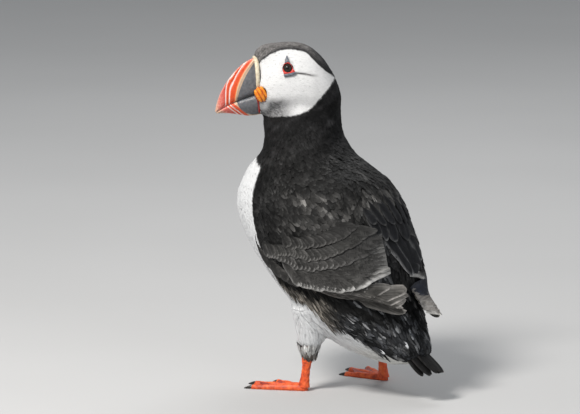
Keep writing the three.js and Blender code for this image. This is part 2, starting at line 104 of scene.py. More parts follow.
# ---------- curves ----------
def through(values):
    """A smooth curve through numbers, or points, at equal steps of t from 0 to 1."""
    values = np.asarray(values, float)

    def at(t):
        place = np.clip(t, 0, 1) * (len(values) - 1)
        i = np.minimum(np.asarray(place).astype(int), len(values) - 2)
        u = place - i
        u = u[..., None] if values.ndim > 1 else u
        a, b = values[np.maximum(i - 1, 0)], values[i]
        c, d = values[i + 1], values[np.minimum(i + 2, len(values) - 1)]
        start, end = (c - a) / 2, (d - b) / 2
        return ((2 * b - 2 * c + start + end) * u ** 3 + (3 * c - 3 * b - 2 * start - end) * u ** 2
                + start * u + b)

    return at


def smooth_step(value, low, high):
    t = np.clip((np.asarray(value, float) - low) / (high - low), 0, 1)
    return t * t * (3 - 2 * t)


def bump_at(value, centre, width):
    return np.exp(-(((value - centre) / width) ** 2))


def blob(points, centre, radii):
    """1 at the centre, fading away over the radii."""
    return np.exp(-((((points - centre) / radii) ** 2).sum(1)))


def round_end(t, length):
    return np.sqrt(np.clip(1 - (1 - np.minimum(1, t / length)) ** 2, 0, 1))


def power(value, exponent):
    return np.sign(value) * np.abs(value) ** exponent


def unit(v):
    return v / np.maximum(np.linalg.norm(v, axis=-1, keepdims=True), 1e-12)


def noise(p, scale, seed=0):
    """Smooth noise from -1 to 1 as a sum of a few turned waves; p in millimetres."""
    wave = np.random.default_rng(seed)
    total = np.zeros(p.shape[:-1])
    for _ in range(7):
        total = total + np.sin(p @ (unit(wave.normal(size=3)) * wave.uniform(0.7, 1.6) / scale * 2 * np.pi)
                               + wave.uniform(0, 6.3))
    return np.clip(total / 3.2, -1, 1)


# ---------- meshes ----------
def finished(name, shape, material, slot, sharp=None):
    """A piece from a bmesh in metres, riding on the body of the part."""
    mesh = bpy.data.meshes.new(name)
    shape.to_mesh(mesh)
    shape.free()
    return piece(name, mesh, material, slot, sharp)


def piece(name, mesh, material, slot, sharp=None):
    mesh.polygons.foreach_set("use_smooth", np.ones(len(mesh.polygons), bool))
    if sharp:
        mesh.set_sharp_from_angle(angle=np.radians(sharp))
    obj = bpy.data.objects.new(name, mesh)
    bpy.context.scene.collection.objects.link(obj)
    mesh.materials.append(material)
    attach(obj, "root")
    return obj


def ball_loft(rings, sides, place):
    """A closed skin: a sphere whose corners move to place(t, angle), in metres; t runs from end to end."""
    shape = bmesh.new()
    bmesh.ops.create_uvsphere(shape, u_segments=sides, v_segments=rings, radius=1)
    co = np.array([v.co for v in shape.verts])
    t = np.arccos(np.clip(co[:, 2], -1, 1)) / np.pi
    angle = np.where(np.hypot(co[:, 0], co[:, 1]) < 1e-5, 0, np.arctan2(co[:, 1], co[:, 0]))
    for v, p in zip(shape.verts, place(t, angle)):
        v.co = p
    bmesh.ops.recalc_face_normals(shape, faces=shape.faces)
    return shape


def grid_loft(across, along, place):
    """A sheet whose corners move to place(u, v), in metres, with u and v from 0 to 1."""
    shape = bmesh.new()
    bmesh.ops.create_grid(shape, x_segments=across, y_segments=along, size=1)
    co = np.array([v.co for v in shape.verts])
    for v, p in zip(shape.verts, place((co[:, 0] + 1) / 2, (co[:, 1] + 1) / 2)):
        v.co = p
    bmesh.ops.remove_doubles(shape, verts=shape.verts, dist=WELD)
    bmesh.ops.recalc_face_normals(shape, faces=shape.faces)
    return shape


def set_values(mesh, name, values):
    values = np.asarray(values, float)
    if values.ndim == 1:
        mesh.attributes.new(name, "FLOAT", "POINT").data.foreach_set("value", values)
        return
    colours = np.ones((len(values), 4))
    colours[:, :3] = values
    mesh.attributes.new(name, "FLOAT_COLOR", "POINT").data.foreach_set("color", colours.ravel())


def read(items, field, width, kind=float):
    """One field of all a mesh's corners, loops or triangles, as rows."""
    values = np.empty(len(items) * width, kind)
    items.foreach_get(field, values)
    return values.reshape(-1, width)


def corners_of(mesh):
    return read(mesh.vertices, "co", 3)


# ---------- materials ----------
def new_material(name, roughness=0.6, **settings):
    """A node material and its shader; the settings are set on the shader's own sockets."""
    material = bpy.data.materials.new(name)
    material.use_nodes = True
    shader = material.node_tree.nodes["Principled BSDF"]
    shader.inputs["Roughness"].default_value = roughness
    for key, value in settings.items():
        shader.inputs[key.replace("_", " ")].default_value = value
    return material, shader


def node(material, kind, settings=(), **links):
    """A shader node with its properties set and its inputs linked, or given as numbers."""
    made = material.node_tree.nodes.new(kind)
    for key, value in dict(settings).items():
        setattr(made, key, value)
    for key, value in links.items():
        socket = made.inputs[int(key[1:]) if key[0] == "_" and key[1:].isdigit() else key.replace("_", " ")]
        if isinstance(value, bpy.types.NodeSocket):
            material.node_tree.links.new(value, socket)
        else:
            socket.default_value = value
    return made


def math(material, operation, a, b=0.0, clamp=False):
    return node(material, "ShaderNodeMath", {"operation": operation, "use_clamp": clamp}, _0=a, _1=b).outputs[0]


def times(material, a, b, clamp=False):
    return math(material, "MULTIPLY", a, b, clamp)


def plus(material, a, b):
    return math(material, "ADD", a, b)


def mixed(material, factor, a, b, blend="MIX"):
    made = node(material, "ShaderNodeMix", {"data_type": "RGBA", "blend_type": blend}, _0=factor, _6=a, _7=b)
    return made.outputs[2]


def attribute(material, name, output="Color"):
    return node(material, "ShaderNodeAttribute", {"attribute_name": name}).outputs[output]


def noise_of(material, scale, detail=3.0, roughness=0.55, vector=None):
    links = {"Vector": vector or node(material, "ShaderNodeTexCoord").outputs["Object"],
             "Scale": float(scale), "Detail": detail, "Roughness": roughness}
    return node(material, "ShaderNodeTexNoise", **links).outputs["Fac"]


def ramp(material, factor, stops):
    made = node(material, "ShaderNodeValToRGB", Fac=factor)
    while len(made.color_ramp.elements) < len(stops):
        made.color_ramp.elements.new(0.5)
    for element, (position, colour) in zip(made.color_ramp.elements, stops):
        element.position = position
        element.color = (*colour, 1) if len(colour) == 3 else colour
    return made.outputs["Color"]


def grey(value):
    return (value, value, value)


def bumped(material, shader, height, distance, strength=1.0):
    bump = node(material, "ShaderNodeBump", Height=height, Distance=distance, Strength=strength)
    material.node_tree.links.new(bump.outputs["Normal"], shader.inputs["Normal"])


def coloured(material, shader, colour, roughness=None):
    material.node_tree.links.new(colour, shader.inputs["Base Color"])
    if roughness is not None:
        material.node_tree.links.new(roughness, shader.inputs["Roughness"])


def plumage_material(name, vaned):
    """Feathering: its colour comes from the plumage attribute, its barbs from the vane's own map."""
    material, shader = new_material(name, 0.62, Specular_IOR_Level=0.14)
    tint = attribute(material, "plumage")
    brightness = node(material, "ShaderNodeRGBToBW", Color=tint).outputs[0]
    depth = math(material, "SUBTRACT", 1.0, times(material, brightness, 1.35), clamp=True)  # the darker, the deeper
    patch = ramp(material, noise_of(material, 210, 4), [(0.3, grey(0.55)), (0.7, grey(1.2))])
    colour = mixed(material, depth, tint, patch, "MULTIPLY")
    if vaned:
        barbs_uv = node(material, "ShaderNodeUVMap", {"uv_map": "vane"}).outputs["UV"]
        apart = node(material, "ShaderNodeSeparateXYZ", Vector=barbs_uv)
        aside = math(material, "ABSOLUTE", math(material, "SUBTRACT", apart.outputs["X"], 0.5))
        along = math(material, "SUBTRACT", apart.outputs["Y"], times(material, aside, 0.55))
        number = attribute(material, "number", "Fac")
        along = plus(material, along, times(material, number, 7.3))
        barb_place = node(material, "ShaderNodeCombineXYZ", X=times(material, aside, 1.6),
                          Y=times(material, along, 26.0), Z=number).outputs[0]
        barbs = noise_of(material, 1.0, 2.0, 0.6, barb_place)
        streak = ramp(material, barbs, [(0.34, grey(0.38)), (0.62, grey(1.55))])
        streaky = plus(material, times(material, depth, 0.65), 0.12)
        colour = mixed(material, streaky, colour, streak, "MULTIPLY")
        shaft = ramp(material, aside, [(0.0, grey(0.0)), (0.06, grey(1.0))])
        bumped(material, shader, plus(material, barbs, times(material, shaft, -0.35)), 0.00022, 0.7)
        rough = ramp(material, barbs, [(0.3, grey(0.5)), (0.75, grey(0.72))])
    else:
        down = noise_of(material, 1500, 3, 0.6)
        bumped(material, shader, down, 0.0003, 0.7)
        rough = ramp(material, down, [(0.3, grey(0.62)), (0.7, grey(0.85))])
    coloured(material, shader, colour, rough)
    return material


# ---------- the folded wing's outline ----------
WING = {
    "w": [-9, 5, 20, 35, 48, 61, 75, 89, 102, 115, 127],
    "low": [1, -13, -21, -25, -26.3, -25, -19.5, -9, -1, 4.5, 9],
    "high": [22, 43, 55, 58.5, 54.5, 45, 35.5, 22.5, 12.5, 11, 10.3],
    "out": [43, 50, 52.5, 53, 52.5, 51.5, 48, 41.5, 32, 24.5, 18.5],
}
WIDEST_AT = 0.27
wing_line = {key: through(values) for key, values in WING.items()}
wing_steps = np.linspace(0, 1, 400)


def wing_out(w, c):
    """How far out the folded wing's outer side is at [w, c]."""
    t = np.interp(w, wing_line["w"](wing_steps), wing_steps)
    low, high, out = wing_line["low"](t), wing_line["high"](t), wing_line["out"](t)
    centre = low + (high - low) * WIDEST_AT
    rise = np.clip((c - centre) / np.maximum(high - centre, 1), -0.37, 0.97)
    return out * np.sqrt(1 - rise ** 2)


def on_wing(w, c, height, side):
    """Points over the wing's outer side, in metres of the part."""
    step = 1.0
    out = unit(np.stack([wing_out(w - step, c) - wing_out(w + step, c), wing_out(w, c - step) - wing_out(w, c + step),
                         np.full(np.shape(w), 2 * step)], -1))
    place = np.stack([w, c, wing_out(w, c)], -1) + out * np.asarray(height)[..., None]
    return body_to_part(wing_to_body(place, side))


def over_wing(body, side):
    """How far outside the folded wing's outer side body points are; far inside it elsewhere."""
    w, c, out = np.moveaxis(body_to_wing(body, side), -1, 0)
    t = np.interp(w, wing_line["w"](wing_steps), wing_steps)
    inside = (c > wing_line["low"](t) - 3) & (c < wing_line["high"](t) + 3) & (w > -12) & (w < 130)
    return np.where(inside, out - wing_out(w, c), -99)


# ---------- markings, shared by skin and coat ----------
WHITE, CHEEK, SMUDGE = (0.67, 0.68, 0.69), (0.74, 0.74, 0.74), (0.15, 0.15, 0.155)
CAP, FORECROWN, NECK_BLACK = (0.017, 0.017, 0.019), (0.21, 0.20, 0.195), (0.0090, 0.0088, 0.0092)
MANTLE, MANTLE_PALE = (0.0076, 0.0075, 0.0074), (0.095, 0.092, 0.088)
FLANK_BROWN, RUMP_GREY, UNDER_GREY = (0.165, 0.150, 0.130), (0.019, 0.020, 0.022), (0.60, 0.60, 0.58)
RUMP_PALE, BACK_PALE, PAINTED_SHADOW_BLACK = (0.17, 0.173, 0.178), (0.055, 0.054, 0.052), (0.0035, 0.0035, 0.0035)
ANKLE_BROWN, CHIN_LINE = (0.11, 0.095, 0.085), (0.1, 0.1, 0.1)
CHEEK_REAR, CREASE_TONE = (0.45, 0.45, 0.44), (0.05, 0.045, 0.045)

# The white face as seen square to its side: its upper edge and lower edge, as [x, height].
CAP_EDGE = [(-26.4, 1.0), (-24, 2.4), (-21.7, 3.5), (-16.3, 7.7), (-12.7, 11.3), (-6.8, 17.4), (-3.7, 18.3),
            (4.1, 19.5), (10.2, 18.8), (17, 16.1), (22.4, 12.5), (24.1, 10.7), (28, 6)]
CHIN_EDGE = [(-26.4, 1.6), (-25.5, -1.2), (-22.4, -6.6), (-17, -12.8), (-12.7, -18.0), (-7.9, -22.0),
             (-1.9, -24.7), (4.7, -25.9), (16.3, -25.9), (23, -24.5), (30, -24)]
# Black mantle and dark flank begin above this line, as [ahead, up]; the collar's lower edge too.
FLANK_EDGE = [(-75, 24), (-62, 28), (-50, 32.5), (-44, 35.5), (-39, 39.5), (-35, 43), (-29, 46), (-18, 47),
              (-12, 53), (-6, 60), (5, 62), (14, 64), (27, 71), (34, 84), (40, 98), (43, 115), (46, 136)]
COLLAR_EDGE = [(10, 136), (21, 139.5), (40, 145), (55, 149.5), (70, 154), (90, 156)]
# The crease from the eye's rear corner back over the cheek, as [x, height] seen square to the side.
CREASE = [(-17, 1.5), (-10.8, 1.6), (-6.8, 2.5), (-0.7, 3.1), (2, 3.6)]
# The groove between the two folded wings, as body points, along which painted shade lies, and each wing's lower edge,
# as [w, c], below which a painted shadow lies.
FURROW = [(-33, 21, 117), (-40, 16.5, 105), (-43.5, 12, 96.5), (-45, 6.4, 88), (-47.5, 0.6, 80), (-50, -1, 71),
          (-54, -1, 60)]
WING_UNDER_EDGE = [(-2, -0.2), (2.1, -11), (12.6, -17.3), (26.5, -19), (37.8, -20.5), (61, -14), (74, -7),
                   (90, -7.4), (104, -5), (116, -0.5), (124, 5)]


def from_line(points, line):
    """The distance of points from a line of straight stretches."""
    line = np.array(line, float)
    best = np.full(len(points), 1e9)
    for a, b in zip(line[:-1], line[1:]):
        t = np.clip(((points - a) @ (b - a)) / ((b - a) @ (b - a)), 0, 1)
        best = np.minimum(best, np.linalg.norm(points - a - t[:, None] * (b - a), axis=1))
    return best


def level(points, at):
    xs, ys = np.array(points).T
    return np.interp(at, xs, ys)


def side_view(head):
    """Head points as seen square to the side of the face: along it, and up."""
    aside = np.abs(head[..., 1])
    return head[..., 0] - 0.158 * aside, head[..., 2] - 0.163 * aside - 0.026 * head[..., 0]


def plumage_at(body):
    """The colour of the plumage at body points in millimetres."""
    head = body_to_head(body)
    x, up = side_view(head)
    ragged = 0.22 * noise(body, 1.7, 3)
    colour = np.tile(np.array(WHITE), (len(body), 1))

    def lay(mask, tone):
        nonlocal colour
        mask = np.clip(mask, 0, 1)[:, None]
        colour = colour * (1 - mask) + np.asarray(tone) * mask

    ahead, aside, height = body[:, 0], np.abs(body[:, 1]), body[:, 2]
    dark_body = smooth_step(height - level(FLANK_EDGE, ahead) + 3 * ragged, -0.8, 0.8)
    dark_body *= 1 - smooth_step(ahead, 44, 46)
    collar = smooth_step(height - level(COLLAR_EDGE, ahead) + 2 * ragged, -0.7, 0.7)
    lay(dark_body, MANTLE)
    lay(dark_body * (1 - smooth_step(height, 66, 84)) * smooth_step(ahead, -30, -10), FLANK_BROWN)
    lay(dark_body * (1 - smooth_step(height, 60, 76)) * (1 - smooth_step(ahead, -34, -14)), RUMP_GREY)
    scaly = smooth_step(noise(body, 6.5, 31), 0.15, 0.75) * (1 - smooth_step(height, 60, 80))
    lay(0.6 * (scaly * (1 - smooth_step(ahead, -34, -10))) * dark_body, RUMP_PALE)
    shoulder = bump_at(height, 130, 17) * (1 - smooth_step(ahead, 0, 26))
    lay(0.42 * shoulder * dark_body * (0.55 + 0.7 * noise(body, 9, 5)), MANTLE_PALE)
    lay(0.5 * blob(body, (-27, 4, 127), (10, 16, 12)) * dark_body, BACK_PALE)
    lay(0.8 * blob(body, (-47, 13, 87), (9, 8, 15)) * dark_body, RUMP_PALE)
    # painted shade: near-black along the groove between the folded wings
    lay(bump_at(from_line(body, FURROW), 0, 6.0), PAINTED_SHADOW_BLACK)
    # painted shadow: a near-black band on the flank just below each wing's lower edge
    for side in SIDES:
        w, c, out = np.moveaxis(body_to_wing(body, side), -1, 0)
        below = level(WING_UNDER_EDGE, w) - c
        under = smooth_step(below, 0.0, 1.6)
        under *= (1 - smooth_step(below, 6, 10)) * (out > 6) * (w > -3) * (w < 124)
        lay(0.97 * under * dark_body, PAINTED_SHADOW_BLACK)
    lay(collar, NECK_BLACK)
    lay(collar * (1 - smooth_step(height, 150, 166)) * (1 - smooth_step(ahead, 30, 55)), MANTLE)
    # undertail and the fringe round each ankle
    lay((1 - dark_body) * (1 - smooth_step(ahead, -34, -20)) * (1 - smooth_step(height, 30, 40)), UNDER_GREY)
    ankle = (1 - smooth_step(height, 26, 33)) * bump_at(aside, 28, 14) * bump_at(ahead, 0, 20)
    lay(ankle * (0.72 + 0.5 * noise(body, 3.5, 8)), ANKLE_BROWN)

    on_head = smooth_step(height + 0.25 * head[:, 0], 171, 173)
    edge_in = np.minimum(level(CAP_EDGE, x) - up, up - level(CHIN_EDGE, x))
    edge_in = np.minimum(edge_in, x + 26.4) + ragged
    lay(on_head, NECK_BLACK)
    mottled = np.exp(0.55 * noise(body, 6, 21) + 0.6 * noise(body, 15, 22))[:, None]
    colour = np.where(((dark_body > 0.5) | (collar > 0.5))[:, None], colour * mottled, colour)
    cap = on_head * smooth_step(up - level(CAP_EDGE, x), -0.2, 0.4) * smooth_step(up, -2, 3)
    lay(cap, CAP)
    over = up - level(CAP_EDGE, x)
    lay(cap * 0.75 * smooth_step(x, 4, 24) * smooth_step(over, 0.6, 2.2), FORECROWN)
    lay(cap * 0.62 * bump_at(over, 4.0, 2.4) * smooth_step(x, -24, -6), FORECROWN)
    lay(cap * 0.4 * (1 - smooth_step(np.abs(head[:, 1]), 2, 9)) * smooth_step(x, -26, 0), FORECROWN)
    face = on_head * smooth_step(edge_in, -0.3, 0.3)
    lay(face, CHEEK)
    smudge = smooth_step(-up, 12, 18) * smooth_step(x, -5, 14) * (1 - 0.25 * smooth_step(x, 20, 28))
    lay(face * smudge * 0.92, SMUDGE)
    lay(face * 0.45 * bump_at(up + 0.9 * x, -6.5, 1.6) * smooth_step(-up, 13, 17), CHIN_LINE)
    lay(face * 0.75 * bump_at(x, 21.5, 2.6) * bump_at(up, -18.5, 3.0), CHEEK)
    lay(face * 0.16 * smooth_step(x, 4, -20), CHEEK_REAR)
    crease = bump_at(up, level(CREASE, x), 0.42 + 0.02 * (10 - x)) * smooth_step(x, -17, -8)
    lay(face * (crease * (1 - smooth_step(x, -0.4, 0.6))) * 0.8, CREASE_TONE)
    return colour


# ---------- the face's own shape ----------
HEAD = {  # the same stations as the solid: along the head, crown, throat, half width
    "x": [-29.5, -26, -17.5, -7, 5, 16, 24.5, 29],
    "top": [-7, 3, 15.5, 23.8, 25.8, 23.6, 18.5, 13.5],
    "bottom": [-14, -20, -25, -26.5, -26.5, -26, -24.5, -21.5],
    "half": [7, 15, 20.5, 22, 20.5, 17, 12.5, 9],
}
CROWN_NARROWING = 0.17
EYE, ROSETTE_AT = (8.3, 9.6), (25.2, -8.6)
head_line = {key: through(values) for key, values in HEAD.items()}
head_steps = np.linspace(0, 1, 400)


def cheek_at(x, z):
    """The half width of the head at [x, z]."""
    t = np.interp(x, head_line["x"](head_steps), head_steps)
    top, bottom = head_line["top"](t), head_line["bottom"](t)
    up = np.clip((2 * z - top - bottom) / (top - bottom), -0.999, 0.999)
    return head_line["half"](t) * np.sqrt(1 - up * up) * (1 - CROWN_NARROWING * up)


def on_face(x, z, side, height=0.0):
    """Points at [x, z] of the head's side, so high over its skin, in metres of the part."""
    x, z = np.broadcast_arrays(np.asarray(x, float), np.asarray(z, float))
    step = 0.5
    out = unit(np.stack([cheek_at(x - step, z) - cheek_at(x + step, z), np.full(x.shape, 2 * step),
                         cheek_at(x, z - step) - cheek_at(x, z + step)], -1))
    place = np.stack([x, cheek_at(x, z), z], -1) + out * np.asarray(height)[..., None]
    place[..., 1] *= SIDES[side]
    return head_to_part(place)


# ---------- skin ----------
FLESH = ["head", "neck", "trunk", "rump"] + [
    f"{name}_{side}" for side in SIDES for name in ("thigh", "wing_coverts", "wing_secondaries")]
FACE_FILL = [f"{name}_{side}" for side in SIDES for name in ("eye_ring", "eye_plate_upper", "eye_plate_lower", "eye")]
SKIN_GROW = 0.35  # the solids are grown by this to close the cuts between them
SKIN_VOXEL = 1.25
NAPE_AT, NAPE_FILL = (20, -14, 185), 3.4  # the feathering fills the hollow between head and neck
NAPE_REACH, NAPE_ROUNDS = 27, 36  # and is smoothed this far round, this often
FOREHEAD_AT, FOREHEAD_FILL = (22.3, 4, 19), 4.2  # and stands full over the base of the bill


def coat_depth(body):
    """How deep the skin lies inside the solids."""
    head = body_to_head(body)
    face = np.exp(-(((head / (34, 30, 32)) ** 2).sum(-1)) ** 2)
    legs = 1 - smooth_step(body[:, 2], 24, 40)
    return np.clip(2.0 - 1.35 * face - 0.9 * legs, 0.6, 2.0)


def fleshy_union():
    """The flesh solids and the filled eye sockets, grown a little and made one closed mesh."""
    joined = bmesh.new()
    for name in FLESH + FACE_FILL:
        solid = bmesh.new()
        solid.from_mesh(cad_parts[name].data)
        bmesh.ops.remove_doubles(solid, verts=solid.verts, dist=WELD)
        solid.normal_update()
        grow = SKIN_GROW if name in FLESH else 0
        for v in solid.verts:
            v.co += v.normal * grow * MM
        grown = bpy.data.meshes.new("grown")
        solid.to_mesh(grown)
        solid.free()
        joined.from_mesh(grown)
        bpy.data.meshes.remove(grown)
    mesh = bpy.data.meshes.new("skin")
    joined.to_mesh(mesh)
    joined.free()
    rough = bpy.data.objects.new("rough", mesh)
    bpy.context.scene.collection.objects.link(rough)
    remesh = rough.modifiers.new("remesh", "REMESH")
    remesh.mode = "VOXEL"
    remesh.voxel_size = SKIN_VOXEL * MM
    whole = bpy.data.meshes.new_from_object(rough.evaluated_get(bpy.context.evaluated_depsgraph_get()))
    bpy.data.objects.remove(rough)
    return whole


def smoothed(shape, verts, rounds):
    for _ in range(rounds):
        bmesh.ops.smooth_vert(shape, verts=verts, factor=0.5, use_axis_x=True, use_axis_y=True, use_axis_z=True)


def shape_skin():
    """The one skin: smoothed, sunk by the coat's depth, and folded round the eyes."""
    skin = bmesh.new()
    skin.from_mesh(fleshy_union())
    smoothed(skin, skin.verts, 4)
    for side in SIDES:
        eye = Vector(on_face(*EYE, side))
        near = [e for e in skin.edges if (e.verts[0].co - eye).length < 13 * MM]
        bmesh.ops.subdivide_edges(skin, edges=near, cuts=2, use_grid_fill=True, smooth=0)
    bmesh.ops.triangulate(skin, faces=[f for f in skin.faces if len(f.verts) > 4])
    skin.normal_update()
    body = part_to_body(np.array([v.co for v in skin.verts]))
    depth = coat_depth(body) + SKIN_GROW
    head = body_to_head(body)
    for side, sign in SIDES.items():
        from_eye = np.hypot(head[:, 0] - EYE[0], head[:, 2] - EYE[1])
        here = head[:, 1] * sign > 8
        depth += here * (2.6 * (1 - smooth_step(from_eye, 2.2, 3.4)) - 0.45 * bump_at(from_eye, 6.4, 2.2))
    depth -= NAPE_FILL * blob(body, NAPE_AT, (13, 22, 9))
    brow = np.stack([head[:, 0], np.maximum(np.abs(head[:, 1]), FOREHEAD_AT[1]), head[:, 2]], -1)
    depth -= FOREHEAD_FILL * blob(brow, FOREHEAD_AT, (12, 8, 7))
    x, up = side_view(head)
    depth += (np.abs(head[:, 1]) > 8) * 0.8 * bump_at(up, level(CREASE, x), 0.7) * smooth_step(x, -17, -6) * (x < 4)
    for v, sunk in zip(skin.verts, depth):
        v.co -= v.normal * float(sunk) * MM
    nape = Vector(body_to_part(np.array(NAPE_AT) + (-3, 0, 7)))
    behind = [v for v, x in zip(skin.verts, head[:, 0]) if x < -10 and (v.co - nape).length < NAPE_REACH * MM]
    smoothed(skin, behind, NAPE_ROUNDS)
    mesh = bpy.data.meshes.new("skin")
    skin.to_mesh(mesh)
    skin.free()
    return mesh


def unwrap(obj):
    """An unwrap of the skin's own shape, for baking."""
    obj.data.uv_layers.new(name="OFBake")
    bpy.context.view_layer.objects.active = obj
    obj.select_set(True)
    bpy.ops.object.mode_set(mode="EDIT")
    bpy.ops.mesh.select_all(action="SELECT")
    bpy.ops.uv.smart_project(angle_limit=np.radians(66), island_margin=0.002)
    bpy.ops.object.mode_set(mode="OBJECT")
    obj.select_set(False)


skin_material = plumage_material("down_under_the_feathers", vaned=False)
vane_material = plumage_material("feather_vanes", vaned=True)

skin = piece("skin", shape_skin(), skin_material, "white_plumage")
set_values(skin.data, "plumage", plumage_at(part_to_body(corners_of(skin.data))) * 0.8)
unwrap(skin)
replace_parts(skin, *FLESH)

skin.data.calc_loop_triangles()
skin_corners = corners_of(skin.data)
skin_triangles = read(skin.data.loop_triangles, "vertices", 3, np.int32)
skin_loops = read(skin.data.loop_triangles, "loops", 3, np.int32)
skin_uv = read(skin.data.uv_layers["OFBake"].data, "uv", 2)
skin_normals = read(skin.data.vertices, "normal", 3)
skin_tree = BVHTree.FromPolygons(skin_corners.tolist(), skin_triangles.tolist(), all_triangles=True)

# ---------- the lie and size of the coat ----------
# Each guide: frame, place, the way feathers point, and their length, width and lift at the tip.
COAT = [
    ("head", (27, 0, 15), (-1, 0, 0.55), 2.0, 0.9, 0.15),
    ("head", (25, 11, 2), (-1, 0.4, 0), 1.9, 0.9, 0.12),
    ("head", (18, 14, 12), (-1, 0.25, 0.1), 2.2, 1.0, 0.12),
    ("head", (4, 0, 25), (-1, 0, 0), 3.2, 1.1, 0.4),
    ("head", (4, 14, 20), (-1, 0, -0.05), 2.6, 1.0, 0.18),
    ("head", (8, 20, 9), (-1, 0, -0.1), 2.0, 0.9, 0.1),
    ("head", (0, 22, -4), (-1, 0, -0.15), 2.6, 1.0, 0.14),
    ("head", (14, 16, -16), (-1, 0.1, -0.35), 2.4, 1.0, 0.16),
    ("head", (20, 0, -25), (-1, 0, -0.2), 2.4, 1.0, 0.2),
    ("head", (-12, 20, -14), (-0.9, 0, -0.5), 2.8, 1.1, 0.2),
    ("head", (-18, 10, 12), (-0.8, 0, -0.55), 3.4, 1.3, 0.45),
    ("head", (-27, 0, -4), (-0.3, 0, -1), 4.0, 1.5, 0.6),
    ("body", (66, 0, 172), (0.1, 0, -1), 4.6, 1.9, 0.7),
    ("body", (42, 24, 172), (-0.1, 0.05, -1), 4.8, 2.0, 0.7),
    ("body", (14, 0, 172), (-0.35, 0, -1), 5.2, 2.2, 0.8),
    ("body", (78, 0, 146), (0.25, 0, -1), 6.0, 2.0, 0.3),
    ("body", (60, 32, 145), (-0.2, 0.25, -1), 6.0, 2.0, 0.35),
    ("body", (30, 36, 152), (-0.6, 0.3, -0.8), 6.5, 2.7, 0.9),
    ("body", (0, 12, 154), (-0.75, 0.1, -0.65), 7.0, 3.0, 1.0),
    ("body", (84, 0, 116), (-0.05, 0, -1), 7.5, 2.4, 0.3),
    ("body", (66, 38, 108), (-0.35, 0.05, -1), 7.5, 2.4, 0.35),
    ("body", (70, 0, 86), (-0.55, 0, -0.9), 8.5, 2.4, 0.45),
    ("body", (36, 30, 62), (-0.75, 0, -0.75), 9.5, 2.2, 0.6),
    ("body", (20, 0, 44), (-0.9, 0, -0.45), 9.5, 2.4, 0.7),
    ("body", (-20, 0, 27), (-1, 0, -0.15), 11.0, 3.2, 1.0),
    ("body", (-60, 0, 22), (-1, 0, -0.12), 11.0, 3.4, 0.8),
    ("body", (18, 40, 76), (-0.72, 0, -0.7), 13.0, 1.6, 1.9),
    ("body", (-8, 38, 58), (-0.72, 0, -0.7), 13.0, 1.5, 1.9),
    ("body", (-30, 28, 46), (-0.85, 0, -0.55), 10.5, 1.6, 1.6),
    ("body", (-60, 14, 38), (-0.85, -0.1, -0.5), 9.5, 1.7, 1.4),
    ("body", (-62, 0, 52), (-0.5, 0, -0.87), 9.5, 2.2, 1.3),
    ("body", (-70, 0, 38), (-0.75, 0, -0.66), 15.0, 4.2, 1.2),
    ("body", (-68, 12, 30), (-0.8, 0.1, -0.6), 12.0, 4.0, 1.2),
    ("body", (-48, 0, 90), (-0.2, 0, -1), 10.5, 3.2, 1.4),
    ("body", (-40, 0, 120), (-0.3, 0, -0.95), 10.5, 3.4, 1.3),
    ("body", (-20, 14, 142), (-0.62, 0.12, -0.78), 10.0, 3.2, 1.2),
    ("body", (8, 30, 42), (0.0, 0, -1), 11.0, 1.1, 0.9),
    ("body", (18, 33, 60), (-0.35, 0, -0.95), 5.0, 1.7, 0.3),
    ("body", (10, 30, 29), (-0.05, 0, -1), 6.0, 1.3, 0.6),
    ("wing", (-6, 10, 44), (0.9, -0.15, 0), 6.0, 2.6, 0.5),
    ("wing", (6, -10, 48), (0.85, -0.5, 0), 7.5, 2.8, 0.6),
    ("wing", (12, 14, 50), (1, -0.1, 0), 8.5, 3.2, 0.7),
    ("wing", (32, -14, 50), (0.9, -0.35, 0), 9.0, 3.2, 0.8),
    ("wing", (34, 22, 50), (1, -0.08, 0), 10.0, 3.6, 1.0),
    ("wing", (20, 44, 34), (1, 0.0, 0), 11.0, 3.6, 1.1),
    ("wing", (62, 16, 48), (1, -0.1, 0), 11.0, 4.2, 1.3),
]


def coat_guides():
    """The guides of both sides as arrays of body points, lies and sizes."""
    places, lies, sizes = [], [], []
    for kind, place, lie, *size in COAT:
        for side, sign in SIDES.items():
            p, d = np.array(place, float), np.array(lie, float)
            if kind == "wing":
                start, end = wing_to_body(p, side), wing_to_body(p + d, side)
            else:
                p[1], d[1] = p[1] * sign, d[1] * sign
                start, end = (head_to_body(p), head_to_body(p + d)) if kind == "head" else (p, p + d)
            places.append(start)
            lies.append(unit(end - start))
            sizes.append(size)
    return np.array(places), np.array(lies), np.array(sizes)


GUIDE_PLACES, GUIDE_LIES, GUIDE_SIZES = coat_guides()


def coat_at(body, normals):
    """The lie of the coat, in the body frame along the skin, and its sizes at body points."""
    away = np.linalg.norm(body[:, None] - GUIDE_PLACES[None], axis=-1)
    weight = 1 / (away + 1.5) ** 4
    weight /= weight.sum(1, keepdims=True)
    lie = weight @ GUIDE_LIES
    lie = unit(lie - normals * (lie * normals).sum(1, keepdims=True))
    return lie, weight @ GUIDE_SIZES


def turn_to_body(v):
    """A direction of the part in the body frame, and back with turn_to_part."""
    return np.stack([-v[..., 1], v[..., 0], v[..., 2]], -1)


def turn_to_part(v):
    return np.stack([v[..., 1], -v[..., 0], v[..., 2]], -1)


# ---------- roots ----------
LAYERS = 3.5  # how many feathers lie over each other at any place
CELL = 1.2  # the grid in which neighbours are looked up, in millimetres


def scatter(count):
    """Random places on the skin: triangle and barycentric weights."""
    a, b, c = (skin_corners[skin_triangles[:, i]] for i in range(3))
    area = np.linalg.norm(np.cross(b - a, c - a), axis=1)
    picked = rng.choice(len(area), count, p=area / area.sum())
    r1, r2 = np.sqrt(rng.random(count)), rng.random(count)
    return picked, np.stack([1 - r1, r1 * (1 - r2), r1 * r2], -1)


